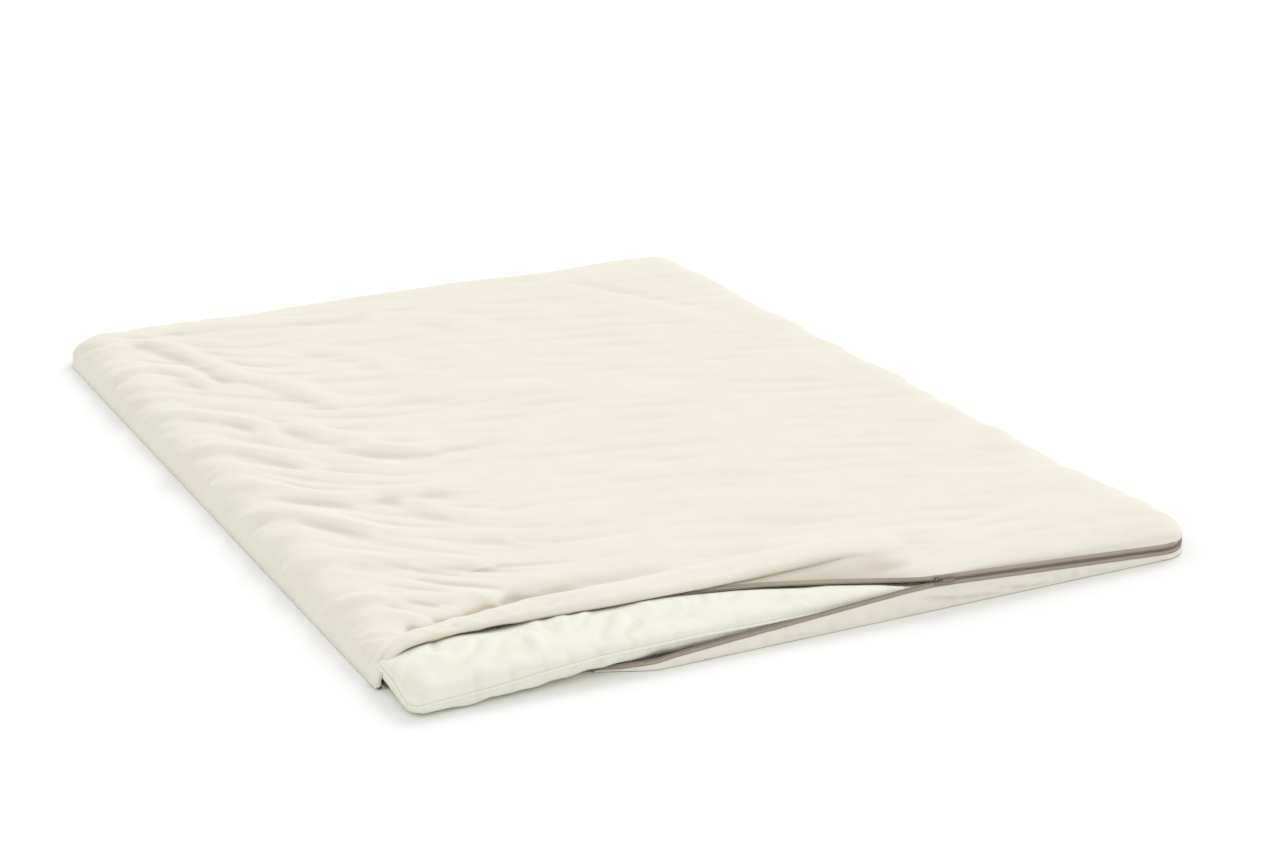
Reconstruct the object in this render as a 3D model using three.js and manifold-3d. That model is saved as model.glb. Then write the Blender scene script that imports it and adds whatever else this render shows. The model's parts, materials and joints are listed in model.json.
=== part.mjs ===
// Double-bed mattress topper: a filled pad lying in a zipped cloth cover.
// Millimetres, +Z up. X runs along the zipped end, Y along the length,
// and the zipped end faces -Y. The origin is the middle of the footprint.
import * as THREE from "three";
import Module from "manifold-3d";

const wasm = await Module();
wasm.setup();

// ---- driving sizes -------------------------------------------------------
const COVER_WIDTH = 1372;
const COVER_LENGTH = 1905;
const COVER_HEIGHT = 62;
const CORNER_RADIUS = 60;
const CLOTH = 2;               // brushed cover cloth
const GAP = 0.3;               // clearance between neighbouring pieces

const SIDE_WALL_TOP = 22;      // upright part of the three sewn sides
const SIDE_SHOULDER = 50;      // how far in the sewn sides roll over
const ZIP_SHOULDER = 14;
const SEAM_HEIGHT = 4;         // sewn edge along the floor
const SEAM_FOOT = 0.4;

const PAD_EASE = 10;           // pad edge to cover wall
const PAD_CORNER_RADIUS = 55;
const PAD_BOTTOM = 3.4;
const PAD_MIDDLE = 30;         // height of the piped edge
const PAD_SLACK = 0.6;         // pad top to the cloth over it
const TICKING = 1;
const PIPING_RADIUS = 2.1;
const CORE_BOTTOM = 14;
const CORE_TOP = 46;

const TAPE = 0.8;              // zip tape thickness
const TAPE_HALF = 9.2;        // chain centre to outer tape edge
const CLOTH_EDGE = 6.5;        // chain centre to cloth edge
const CHAIN_GAP = 0.8;         // chain centre to coil and tape
const COIL_WIDTH = 2.2;
const COIL_DEPTH = 1.7;
const ZIP_WRAP = 150;          // zip beyond the corner, along the right side

const SLIDER_X = 190;          // where the zip is open to
const SLIDER_Z = 47.5;
const DIP_X = 620;             // the chain sinks from the slider to here
const DIP_Z = 18;

const MOUTH_LEFT = -600;       // left end of the upper lip
const MOUTH_RIGHT = 60;        // right end of both lips
const MOUTH_BACK = 130;         // how far the lip is pulled back off the pad
const MOUTH_BACK_RIGHT = 52;
const CORNER_BACK = 128;       // how far the left corner is pulled back
const LIP_HINGE = 190;         // fold line of the upper lip
const LIP_RISE = 4;
const LOWER_LIP_LEFT = -330;
const FLOOR_TAPE_X = -385;     // where the lower tape reaches the floor

const SLIDER_LENGTH = 12;
const SLIDER_WIDTH = 9.6;
const PLATE = 0.8;
const NECK_THICKNESS = 1;
const PULL_LENGTH = 30;
const PULL_WIDTH = 7;
const PULL_THICKNESS = 1.2;
const PIN_RADIUS = 0.6;

// ---- derived sizes -------------------------------------------------------
const HALF_W = COVER_WIDTH / 2;
const HALF_L = COVER_LENGTH / 2;
const FRONT = -HALF_L;
const TAPE_IN = CLOTH + GAP;                 // depth of the tape's outer face
const TAPE_BACK = TAPE_IN + TAPE;
const PANEL_EDGE = TAPE_BACK + GAP;          // bottom panel inside the walls
const WRAP_END = FRONT + CORNER_RADIUS + ZIP_WRAP;
const COIL_OUT = TAPE_IN - GAP - COIL_DEPTH;
const CHAIN_SLOPE = Math.atan2(SLIDER_Z - DIP_Z, DIP_X - SLIDER_X);
const CHAIN_HALF = CHAIN_GAP + COIL_WIDTH;
const ZIP_WALL_TOP = SLIDER_Z + TAPE_HALF + CLOTH + 0.5;   // the zipped end is upright to here
const PAD_TOP = COVER_HEIGHT - CLOTH - PAD_SLACK;
const PULL_CENTRE = -COIL_OUT - GAP - PLATE - PULL_THICKNESS;

// ---- materials -----------------------------------------------------------
function material(color, roughness, metalness = 0) {
  return new THREE.MeshStandardMaterial({ color, roughness, metalness });
}
const creamCloth = () => material(0xf2edde, 0.92);
const bottomCloth = () => material(0xe6e1cd, 0.92);
const ticking = () => material(0xf6f5e8, 0.85);
const filling = () => material(0xfaf8f2, 0.98);
const taupeTape = () => material(0xa69d8b, 0.8);
const taupeCoil = () => material(0x8f8674, 0.5);
const agedMetal = () => material(0x6f6554, 0.35, 0.9);

// ---- mesh helpers --------------------------------------------------------
const at = (x, y, z) => new THREE.Vector3(x, y, z);

function indexed(points, faces) {
  const geometry = new THREE.BufferGeometry();
  const flat = points.flatMap((p) => [p.x, p.y, p.z]);
  geometry.setAttribute("position", new THREE.Float32BufferAttribute(flat, 3));
  geometry.setIndex(faces.flat());
  return geometry;
}

function volume(points, faces) {
  let total = 0;
  for (const [a, b, c] of faces) {
    total += points[a].dot(at(0, 0, 0).crossVectors(points[b], points[c]));
  }
  return total / 6;
}

function facingOut(points, faces) {
  if (volume(points, faces) > 0) return faces;
  return faces.map(([a, b, c]) => [a, c, b]);
}

function capFaces(ring) {
  const normal = at(0, 0, 0);
  ring.forEach((p, i) => {
    normal.add(at(0, 0, 0).crossVectors(p, ring[(i + 1) % ring.length]));
  });
  normal.normalize();
  const u = ring[1].clone().sub(ring[0]).normalize();
  const v = at(0, 0, 0).crossVectors(normal, u);
  const flat = ring.map((p) => new THREE.Vector2(p.dot(u), p.dot(v)));
  return THREE.ShapeUtils.triangulateShape(flat, []);
}

// Joins equal rings of points into one closed body, with caps or as a loop.
function loft(rings, loop = false) {
  const size = rings[0].length;
  const points = rings.flat();
  const faces = [];
  const spans = loop ? rings.length : rings.length - 1;
  for (let r = 0; r < spans; r += 1) {
    const low = r * size;
    const high = ((r + 1) % rings.length) * size;
    for (let i = 0; i < size; i += 1) {
      const next = (i + 1) % size;
      faces.push([low + i, low + next, high + next]);
      faces.push([low + i, high + next, high + i]);
    }
  }
  if (!loop) {
    const last = (rings.length - 1) * size;
    capFaces(rings[0]).forEach(([a, b, c]) => faces.push([c, b, a]));
    capFaces(rings.at(-1)).forEach(([a, b, c]) => faces.push([a + last, b + last, c + last]));
  }
  return indexed(points, facingOut(points, faces));
}

function solid(geometry) {
  const vertProperties = new Float32Array(geometry.attributes.position.array);
  const triVerts = new Uint32Array(geometry.index.array);
  return new wasm.Manifold(new wasm.Mesh({ numProp: 3, vertProperties, triVerts }));
}

function indexedCopy(geometry) {
  const soup = geometry.index ? geometry.toNonIndexed() : geometry;
  const position = soup.attributes.position;
  const keys = new Map();
  const points = [];
  const index = [];
  for (let i = 0; i < position.count; i += 1) {
    const p = at(position.getX(i), position.getY(i), position.getZ(i));
    const key = [p.x, p.y, p.z].map((value) => Math.round(value * 1e4)).join();
    if (!keys.has(key)) {
      keys.set(key, points.length);
      points.push(p);
    }
    index.push(keys.get(key));
  }
  const faces = [];
  for (let i = 0; i < index.length; i += 3) {
    const face = index.slice(i, i + 3);
    if (new Set(face).size === 3) faces.push(face);
  }
  return indexed(points, faces);
}

function fromSolid(body) {
  const { vertProperties, triVerts, numProp } = body.getMesh();
  const points = [];
  for (let i = 0; i < vertProperties.length; i += numProp) {
    points.push(at(vertProperties[i], vertProperties[i + 1], vertProperties[i + 2]));
  }
  const faces = [];
  for (let i = 0; i < triVerts.length; i += 3) {
    faces.push([triVerts[i], triVerts[i + 1], triVerts[i + 2]]);
  }
  return indexed(points, faces);
}

function block(low, high) {
  const size = high.clone().sub(low);
  const geometry = new THREE.BoxGeometry(size.x, size.y, size.z);
  geometry.translate((low.x + high.x) / 2, (low.y + high.y) / 2, (low.z + high.z) / 2);
  return indexedCopy(geometry);
}

function prism(outline, low, high) {
  const shape = new THREE.Shape(outline.map(([x, y]) => new THREE.Vector2(x, y)));
  const geometry = new THREE.ExtrudeGeometry(shape, { depth: high - low, bevelEnabled: false });
  geometry.translate(0, 0, low);
  return indexedCopy(geometry);
}

function piece(name, geometry, finish) {
  const mesh = new THREE.Mesh(geometry, finish);
  mesh.name = name;
  return mesh;
}

const smooth = (value) => {
  const t = THREE.MathUtils.clamp(value, 0, 1);
  return t * t * (3 - 2 * t);
};

// Height on a chain of straight runs through [place, height] pairs.
function along(knots, place) {
  const next = Math.max(1, knots.findIndex(([where]) => where >= place));
  const [a, low] = knots[next - 1];
  const [b, high] = knots[next];
  return low + ((high - low) * (place - a)) / (b - a);
}

// ---- the cover's walls ---------------------------------------------------
// A station is a place on the outer wall with its outward direction.
const station = (x, y, nx, ny) => ({ x, y, nx, ny });
const within = (s, depth, z) => at(s.x - s.nx * depth, s.y - s.ny * depth, z);
const CORNER_STEPS = 6;

function cornerStations(halfW, halfL, radius, quarter) {
  const [sx, sy] = [[1, -1], [1, 1], [-1, 1], [-1, -1]][quarter];
  const start = (quarter - 1) * (Math.PI / 2);
  return Array.from({ length: CORNER_STEPS + 1 }, (_, i) => {
    const angle = start + (i / CORNER_STEPS) * (Math.PI / 2);
    const nx = Math.cos(angle);
    const ny = Math.sin(angle);
    const [centreX, centreY] = [sx * (halfW - radius), sy * (halfL - radius)];
    return station(centreX + nx * radius, centreY + ny * radius, nx, ny);
  });
}

function outline(halfW, halfL, radius) {
  return [0, 1, 2, 3].flatMap((quarter) => cornerStations(halfW, halfL, radius, quarter));
}

const FADE = 120;              // run over which a wall changes its shape
const RIGHT_FADE = WRAP_END + 30;
const LEFT_FADE = FRONT + CORNER_RADIUS + 10;

function coverStations() {
  const corner = (quarter) => cornerStations(HALF_W, HALF_L, CORNER_RADIUS, quarter);
  const steps = [0, FADE / 3, (2 * FADE) / 3, FADE];
  const right = steps.map((step) => station(HALF_W, RIGHT_FADE + step, 1, 0));
  const left = steps.reverse().map((step) => station(-HALF_W, LEFT_FADE + step, -1, 0));
  return [...corner(0), ...right, ...corner(1), ...corner(2), ...left, ...corner(3)];
}

function coverBody(inset, drop, foot) {
  const stations = coverStations();
  const rings = [stations.map((s) => within(s, inset, foot))];
  [0, 22.5, 45, 67.5, 90].forEach((degrees) => {
    const turn = THREE.MathUtils.degToRad(degrees);
    rings.push(stations.map((s) => {
      const sewn = smooth((s.y - (s.x > 0 ? RIGHT_FADE : LEFT_FADE)) / FADE);
      const wallTop = THREE.MathUtils.lerp(ZIP_WALL_TOP, SIDE_WALL_TOP, sewn);
      const shoulder = THREE.MathUtils.lerp(ZIP_SHOULDER, SIDE_SHOULDER, sewn);
      const rise = (COVER_HEIGHT - wallTop) * Math.sin(turn);
      return within(s, inset + (shoulder - inset) * (1 - Math.cos(turn)), wallTop + rise - drop);
    }));
  });
  return solid(loft(rings));
}

// The zipped wall, from left to right and round the corner to the zip's end.
const frontWall = (x) => station(x, FRONT, 0, -1);

function zipStations(firstX) {
  const front = [firstX, SLIDER_X, DIP_X].filter((x, i, all) => all.indexOf(x) === i);
  const corner = cornerStations(HALF_W, HALF_L, CORNER_RADIUS, 0);
  return [...front.map(frontWall), ...corner, station(HALF_W, WRAP_END, 1, 0)];
}

const CHAIN_LINE = [[SLIDER_X, SLIDER_Z], [DIP_X, DIP_Z], [HALF_W + 1, DIP_Z]];
const chainHeight = (s) => along(CHAIN_LINE, s.x);

function sweep(stations, section) {
  return loft(stations.map((s) => section(s).map(([depth, z]) => within(s, depth, z))));
}

const rectangle = (near, far, low, high) => [[near, low], [far, low], [far, high], [near, high]];

// ---- cover panels --------------------------------------------------------
function mouthOutline() {
  const places = [
    [SLIDER_X, -5],
    [SLIDER_X, 0],
    [MOUTH_RIGHT, MOUTH_BACK_RIGHT],
    [MOUTH_RIGHT, LIP_HINGE],
    [MOUTH_LEFT, LIP_HINGE],
    [MOUTH_LEFT, MOUTH_BACK],
    [-HALF_W - 20, CORNER_BACK],
    [-HALF_W - 20, -5],
  ];
  return places.map(([x, depth]) => [x, FRONT + depth]);
}

function coverTopPanel() {
  const shell = coverBody(0, 0, SEAM_HEIGHT + GAP).subtract(coverBody(CLOTH, CLOTH, -CLOTH));
  const mouth = solid(prism(mouthOutline(), -10, COVER_HEIGHT + 10));
  const zipCut = solid(sweep(zipStations(SLIDER_X - SLIDER_LENGTH), (s) => (
    rectangle(-5, CLOTH + 2, -20, chainHeight(s) + CLOTH_EDGE))));
  return fromSolid(shell.subtract(mouth).subtract(zipCut));
}

function coverBottomPanel() {
  const edge = outline(HALF_W - PANEL_EDGE, HALF_L - PANEL_EDGE, CORNER_RADIUS - PANEL_EDGE);
  const sheet = solid(prism(edge.map((s) => [s.x, s.y]), 0, CLOTH));
  const corner = [
    [-HALF_W - 30, FRONT - 30],
    [FLOOR_TAPE_X, FRONT - 30],
    [FLOOR_TAPE_X, FRONT + PANEL_EDGE],
    [-HALF_W, FRONT + CORNER_BACK],
    [-HALF_W - 30, FRONT + CORNER_BACK],
  ];
  return fromSolid(sheet.subtract(solid(prism(corner, -5, CLOTH + 5))));
}

function coverEdgeSeam() {
  const corner = (quarter) => cornerStations(HALF_W, HALF_L, CORNER_RADIUS, quarter);
  const start = station(HALF_W, WRAP_END + GAP, 1, 0);
  const end = station(-HALF_W, FRONT + CORNER_BACK, -1, 0);
  const stations = [start, ...corner(1), ...corner(2), end];
  return sweep(stations, () => rectangle(0, CLOTH, SEAM_FOOT, SEAM_HEIGHT));
}

// Top edge of the lower zip half, where it hangs open left of the slider.
const OPEN_LINE = [
  [FLOOR_TAPE_X, 4],
  [-330, 14],
  [-265, 22],
  [-160, 28],
  [-50, 34],
  [MOUTH_RIGHT, 41],
  [SLIDER_X, SLIDER_Z - CHAIN_GAP],
];

function lowerEdge(s) {
  if (s.nx === 0 && s.x < SLIDER_X) return along(OPEN_LINE, s.x);
  return chainHeight(s) - CHAIN_GAP;
}

const openStations = (first, last) => {
  const inner = OPEN_LINE.map(([x]) => x).filter((x) => x > first && x < last);
  return [first, ...inner, last].map(frontWall);
};
const lowerLipStations = (first) => openStations(first, MOUTH_RIGHT - GAP);
const lowerZipStations = () => zipStations(MOUTH_RIGHT + GAP);
const CLOTH_DROP = CLOTH_EDGE - CHAIN_GAP;

function lowerCloth(stations) {
  return sweep(stations, (s) => rectangle(0, CLOTH, SEAM_FOOT, lowerEdge(s) - CLOTH_DROP));
}

function lowerTape(stations) {
  return sweep(stations, (s) => {
    const top = lowerEdge(s);
    const foot = Math.max(SEAM_FOOT, top + CHAIN_GAP - TAPE_HALF);
    return rectangle(TAPE_IN, TAPE_BACK, foot, top);
  });
}

function lowerCoil(stations) {
  return sweep(stations, (s) => {
    const top = lowerEdge(s);
    return rectangle(COIL_OUT, COIL_OUT + COIL_DEPTH, top - COIL_WIDTH, top);
  });
}

// The lower half lies flat under the pad from the floor point to the corner.
function floorStations() {
  const left = at(-HALF_W + 8, FRONT + CORNER_BACK - 2, 0);
  const right = at(FLOOR_TAPE_X - 4, FRONT + PANEL_EDGE + 1.5, 0);
  const run = right.clone().sub(left).normalize();
  return [left, right].map((p) => station(p.x, p.y, run.y, -run.x));
}

function floorStrip(near, far) {
  return sweep(floorStations(), () => rectangle(near, far, CLOTH + GAP, CLOTH + GAP + TAPE));
}

// ---- upper lip: a sheet folded over the pad's edge -------------------------
const LIP_EDGE = [
  [MOUTH_LEFT, MOUTH_BACK],
  [-140, MOUTH_BACK - 10],
  [MOUTH_RIGHT, MOUTH_BACK_RIGHT],
];
const lipDepth = (x) => LIP_HINGE - along(LIP_EDGE, x);

function lipSection(x) {
  const depth = lipDepth(x);
  const ends = Math.min(smooth((x - MOUTH_LEFT) / FADE), smooth((MOUTH_RIGHT - x) / FADE));
  const rise = LIP_RISE * ends;
  const outer = [
    [2 * GAP, 0],
    [0.3 * depth, 0.6 * rise],
    [0.6 * depth, rise],
    [0.82 * depth, 0.4 * rise - 0.8],
    [0.94 * depth, -3.2],
    [depth, -7],
  ];
  const inner = [
    [depth - CLOTH, -7],
    [0.94 * depth - CLOTH, -4.4],
    [0.82 * depth - 0.5, 0.4 * rise - 0.8 - CLOTH],
    [0.6 * depth, rise - CLOTH],
    [0.3 * depth, 0.6 * rise - CLOTH],
    [2 * GAP, -CLOTH],
  ];
  return [...outer, ...inner].map(([forward, up]) => [LIP_HINGE - forward, COVER_HEIGHT + up]);
}

function coverUpperLip() {
  const places = [MOUTH_LEFT + GAP, -560, -520, -480, -140, -60, 0, MOUTH_RIGHT - GAP];
  return loft(places.map((x) => (
    lipSection(x).map(([depth, z]) => within(frontWall(x), depth, z)))));
}

// ---- upper zip half --------------------------------------------------------
// A band between two edge lines: the free edge carries the coil.
function band(edges, from, to, thickness, shift) {
  const rings = edges.map(({ free, sewn, upright }, i) => {
    const before = edges[Math.max(0, i - 1)].free;
    const after = edges[Math.min(edges.length - 1, i + 1)].free;
    const run = upright ? at(-1, 0, 0) : after.clone().sub(before).normalize();
    const across = sewn.clone().sub(free).normalize();
    const out = at(0, 0, 0).crossVectors(across, run).normalize();
    return [[from, shift], [to, shift], [to, shift - thickness], [from, shift - thickness]]
      .map(([a, b]) => free.clone().addScaledVector(across, a).addScaledVector(out, b));
  });
  return loft(rings);
}

const openEdge = (x, free, sewn, upright = false) => ({
  free: within(frontWall(x), free[0], free[1]),
  sewn: within(frontWall(x), sewn[0], sewn[1]),
  upright,
});

const TAPE_WIDTH = TAPE_HALF - CHAIN_GAP;
const TAPE_MIDDLE = TAPE_IN + TAPE / 2;
const RISE_FOOT = SLIDER_Z + 2 * CHAIN_GAP;   // clears the slider's neck
const uprightEdge = (x, depth, foot) => openEdge(x, [depth, foot], [depth, foot + TAPE_WIDTH], true);

// From the slider the upper half draws back under the top, upright all the way.
const upperRise = () => [
  uprightEdge(SLIDER_X - GAP, TAPE_MIDDLE, RISE_FOOT),
  uprightEdge(SLIDER_X - 9, TAPE_MIDDLE, RISE_FOOT),
  uprightEdge(150, 13, RISE_FOOT + 0.6),
  uprightEdge(105, 31, RISE_FOOT + 1.4),
  uprightEdge(MOUTH_RIGHT + GAP, 48, RISE_FOOT + 2),
];

function lipTapeEdges() {
  const places = [MOUTH_LEFT + 2, -140, -40, MOUTH_RIGHT - GAP];
  return places.map((x) => {
    const front = LIP_HINGE - lipDepth(x);
    return openEdge(x, [front + 2.6, COVER_HEIGHT - 7.8], [front + 12, COVER_HEIGHT - 5]);
  });
}

function upperTape(stations) {
  return sweep(stations, (s) => (
    rectangle(TAPE_IN, TAPE_BACK, chainHeight(s) + CHAIN_GAP, chainHeight(s) + TAPE_HALF)));
}

function upperCoil(stations) {
  return sweep(stations, (s) => {
    const low = chainHeight(s) + CHAIN_GAP;
    return rectangle(COIL_OUT, COIL_OUT + COIL_DEPTH, low, low + COIL_WIDTH);
  });
}

const openTape = (edges) => band(edges, 0, TAPE_WIDTH, TAPE, TAPE / 2);
const openCoil = (edges) => band(edges, 0, COIL_WIDTH, COIL_DEPTH, TAPE / 2 + GAP + COIL_DEPTH);

// ---- slider and pull tab ---------------------------------------------------
// Both are drawn about the chain: x along it, y into the cover, z up it.
const ARCH_WIDTH = 2;
const ARCH_FOOT = 1.4;
const ARCH_BAR = 0.9;
const ARM_INNER = ARCH_WIDTH / 2 + 0.4;
const PLATE_OUT = COIL_OUT - GAP;
const ARCH_TOP = PULL_CENTRE - PIN_RADIUS - GAP;

function sliderBody() {
  const [halfU, halfH] = [SLIDER_LENGTH / 2, SLIDER_WIDTH / 2];
  const inner = TAPE_BACK + GAP;
  const archHalf = halfU - 1;
  const parts = [
    block(at(-halfU, PLATE_OUT - PLATE, -halfH), at(halfU, PLATE_OUT, halfH)),
    block(at(-halfU, inner, -halfH), at(halfU, inner + PLATE, halfH)),
    block(
      at(-halfU, PLATE_OUT - PLATE, -NECK_THICKNESS / 2),
      at(-halfU + 3, inner + PLATE, NECK_THICKNESS / 2)),
    block(
      at(-archHalf, ARCH_TOP - ARCH_BAR, -ARCH_WIDTH / 2),
      at(archHalf, ARCH_TOP, ARCH_WIDTH / 2)),
    block(
      at(-archHalf, ARCH_TOP - ARCH_BAR, -ARCH_WIDTH / 2),
      at(-archHalf + ARCH_FOOT, PLATE_OUT - PLATE / 2, ARCH_WIDTH / 2)),
    block(
      at(archHalf - ARCH_FOOT, ARCH_TOP - ARCH_BAR, -ARCH_WIDTH / 2),
      at(archHalf, PLATE_OUT - PLATE / 2, ARCH_WIDTH / 2)),
  ];
  return fromSolid(parts.map(solid).reduce((whole, part) => whole.add(part)));
}

function pullTab() {
  const neck = SLIDER_LENGTH / 2 + 0.5;
  const half = PULL_WIDTH / 2;
  const shape = new THREE.Shape();
  shape.moveTo(-PIN_RADIUS, -half + 0.6);
  shape.lineTo(neck, -half + 0.6);
  shape.lineTo(neck + 3, -half);
  shape.lineTo(PULL_LENGTH - half, -half);
  shape.absarc(PULL_LENGTH - half, 0, half, -Math.PI / 2, Math.PI / 2, false);
  shape.lineTo(neck + 3, half);
  shape.lineTo(neck, half - 0.6);
  shape.lineTo(-PIN_RADIUS, half - 0.6);
  const slot = new THREE.Path();
  slot.moveTo(PIN_RADIUS, -ARM_INNER);
  slot.lineTo(PIN_RADIUS, ARM_INNER);
  slot.lineTo(neck, ARM_INNER);
  slot.lineTo(neck, -ARM_INNER);
  shape.holes.push(slot);
  const flat = { depth: PULL_THICKNESS, bevelEnabled: false, curveSegments: 10 };
  const plate = new THREE.ExtrudeGeometry(shape, flat);
  plate.translate(0, 0, -PULL_THICKNESS / 2);
  plate.rotateX(Math.PI / 2);
  return indexedCopy(plate);
}

// ---- the pad ---------------------------------------------------------------
// Profiles: [distance in from the pad's edge, share of the rise from the middle].
const UPPER_SHARES = [
  [0, 0], [1.5, 0.2], [8, 0.37], [25, 0.52], [70, 0.62], [110, 0.68], [150, 0.74], [190, 0.96], [205, 1]];
const LOWER_SHARES = [[0, 0], [1.5, 0.3], [8, 0.64], [25, 0.86], [60, 0.98], [90, 1]];
const heights = (shares, middle, end) => (
  shares.map(([inset, share]) => [inset, middle + share * (end - middle)]));
const UPPER_PROFILE = heights(UPPER_SHARES, PAD_MIDDLE + GAP / 2, PAD_TOP);
const LOWER_PROFILE = heights(LOWER_SHARES, PAD_MIDDLE - GAP / 2, PAD_BOTTOM);

function padRing(inset, z) {
  const radius = Math.max(PAD_CORNER_RADIUS - inset, 12);
  const ease = PAD_EASE + inset;
  return outline(HALF_W - ease, HALF_L - ease, radius).map((s) => at(s.x, s.y, z));
}

const offsetRings = (profile, inset, drop) => (
  profile.map(([distance, z]) => padRing(distance + inset, z - drop)));

function tickingShell(profile, drop, overrun) {
  const outer = solid(loft(offsetRings(profile, 0, 0)));
  const hollow = [padRing(TICKING, overrun), ...offsetRings(profile.slice(1), TICKING, drop)];
  return fromSolid(outer.subtract(solid(loft(hollow))));
}

function padFilling() {
  const inset = TICKING + GAP;
  const low = offsetRings(LOWER_PROFILE.slice(1).reverse(), inset, -inset);
  const high = offsetRings(UPPER_PROFILE.slice(1), inset, inset);
  return solid(loft([...low, ...high]));
}

function fillingLayer(low, high) {
  const slab = block(at(-HALF_W, -HALF_L, low), at(HALF_W, HALF_L, high));
  return fromSolid(padFilling().intersect(solid(slab)));
}

function padPiping() {
  const out = PIPING_RADIUS + GAP;
  const ring = outline(HALF_W - PAD_EASE, HALF_L - PAD_EASE, PAD_CORNER_RADIUS);
  const sides = 8;
  const rings = ring.map((s) => Array.from({ length: sides }, (_, i) => {
    const turn = ((i + 0.5) / sides) * 2 * Math.PI;
    const depth = PIPING_RADIUS * Math.cos(turn) - out;
    return within(s, depth, PAD_MIDDLE + PIPING_RADIUS * Math.sin(turn));
  }));
  return loft(rings, true);
}

// ---- zip stops ---------------------------------------------------------------
function endStop() {
  const end = station(HALF_W, WRAP_END + GAP, 1, 0);
  const past = station(HALF_W, WRAP_END + 3.5, 1, 0);
  const [low, high] = [DIP_Z - CHAIN_HALF, DIP_Z + CHAIN_HALF];
  return sweep([end, past], () => rectangle(CLOTH + GAP, CLOTH + 2.2, low, high));
}

function startStop() {
  const [left, right] = floorStations();
  const run = at(right.x - left.x, right.y - left.y, 0).normalize();
  const shifted = [-4.5, -GAP].map((step) => (
    station(left.x + run.x * step, left.y + run.y * step, left.nx, left.ny)));
  return sweep(shifted, () => rectangle(-2, 4, CLOTH + GAP, CLOTH + 1.1));
}

// ---- assembly ------------------------------------------------------------------
const topper = new THREE.Group();
const rootPieces = [
  piece("cover_top_panel", coverTopPanel(), creamCloth()),
  piece("cover_bottom_panel", coverBottomPanel(), bottomCloth()),
  piece("cover_edge_seam", coverEdgeSeam(), creamCloth()),
  piece("cover_lower_band", lowerCloth(lowerZipStations()), bottomCloth()),
  piece("zip_upper_tape", upperTape(zipStations(SLIDER_X)), taupeTape()),
  piece("zip_upper_coil", upperCoil(zipStations(SLIDER_X)), taupeCoil()),
  piece("zip_upper_tape_rise", openTape(upperRise()), taupeTape()),
  piece("zip_upper_coil_rise", openCoil(upperRise()), taupeCoil()),
  piece("zip_lower_tape", lowerTape(lowerZipStations()), taupeTape()),
  piece("zip_lower_coil", lowerCoil(lowerZipStations()), taupeCoil()),
  piece("zip_lower_tape_floor", floorStrip(0.6, 10), taupeTape()),
  piece("zip_lower_coil_floor", floorStrip(-1.9, GAP), taupeCoil()),
  piece("zip_start_stop", startStop(), agedMetal()),
  piece("zip_end_stop", endStop(), agedMetal()),
  piece("pad_ticking_upper", tickingShell(UPPER_PROFILE, TICKING, 20), ticking()),
  piece("pad_ticking_lower", tickingShell(LOWER_PROFILE, -TICKING, 40), ticking()),
  piece("pad_edge_piping", padPiping(), ticking()),
  piece("pad_wadding_upper", fillingLayer(CORE_TOP + GAP, COVER_HEIGHT), filling()),
  piece("pad_core", fillingLayer(CORE_BOTTOM, CORE_TOP), filling()),
  piece("pad_wadding_lower", fillingLayer(0, CORE_BOTTOM - GAP), filling()),
];

const upperLip = [
  piece("cover_upper_lip", coverUpperLip(), creamCloth()),
  piece("zip_upper_tape_lip", openTape(lipTapeEdges()), taupeTape()),
  piece("zip_upper_coil_lip", openCoil(lipTapeEdges()), taupeCoil()),
];

const lowerLip = [
  piece("cover_lower_lip", lowerCloth(lowerLipStations(LOWER_LIP_LEFT)), bottomCloth()),
  piece("zip_lower_tape_lip", lowerTape(lowerLipStations(FLOOR_TAPE_X + GAP)), taupeTape()),
  piece("zip_lower_coil_lip", lowerCoil(lowerLipStations(FLOOR_TAPE_X + GAP)), taupeCoil()),
];

const slider = new THREE.Group();
slider.position.set(SLIDER_X, FRONT, SLIDER_Z);
slider.rotation.y = CHAIN_SLOPE;
const pull = piece("zip_pull_tab", pullTab(), agedMetal());
pull.position.y = PULL_CENTRE;
slider.add(piece("zip_slider_body", sliderBody(), agedMetal()), pull);

topper.add(...rootPieces, ...upperLip, ...lowerLip, slider);
topper.position.y = (ARCH_BAR - ARCH_TOP) / 2;

export default topper;
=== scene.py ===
"""A double-bed mattress topper: a piped pad in a brushed cloth cover, its long zip part open.

Metres, +Z up. X runs along the zipped end, Y along the length, and the zipped end faces -Y.
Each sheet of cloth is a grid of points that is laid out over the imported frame, folded and
puckered stroke by stroke, and then cut into pieces where the frame's joints need it.
"""
import json
import math
import random

import bmesh
import bpy
import numpy as np
from mathutils import Matrix, Vector


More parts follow.
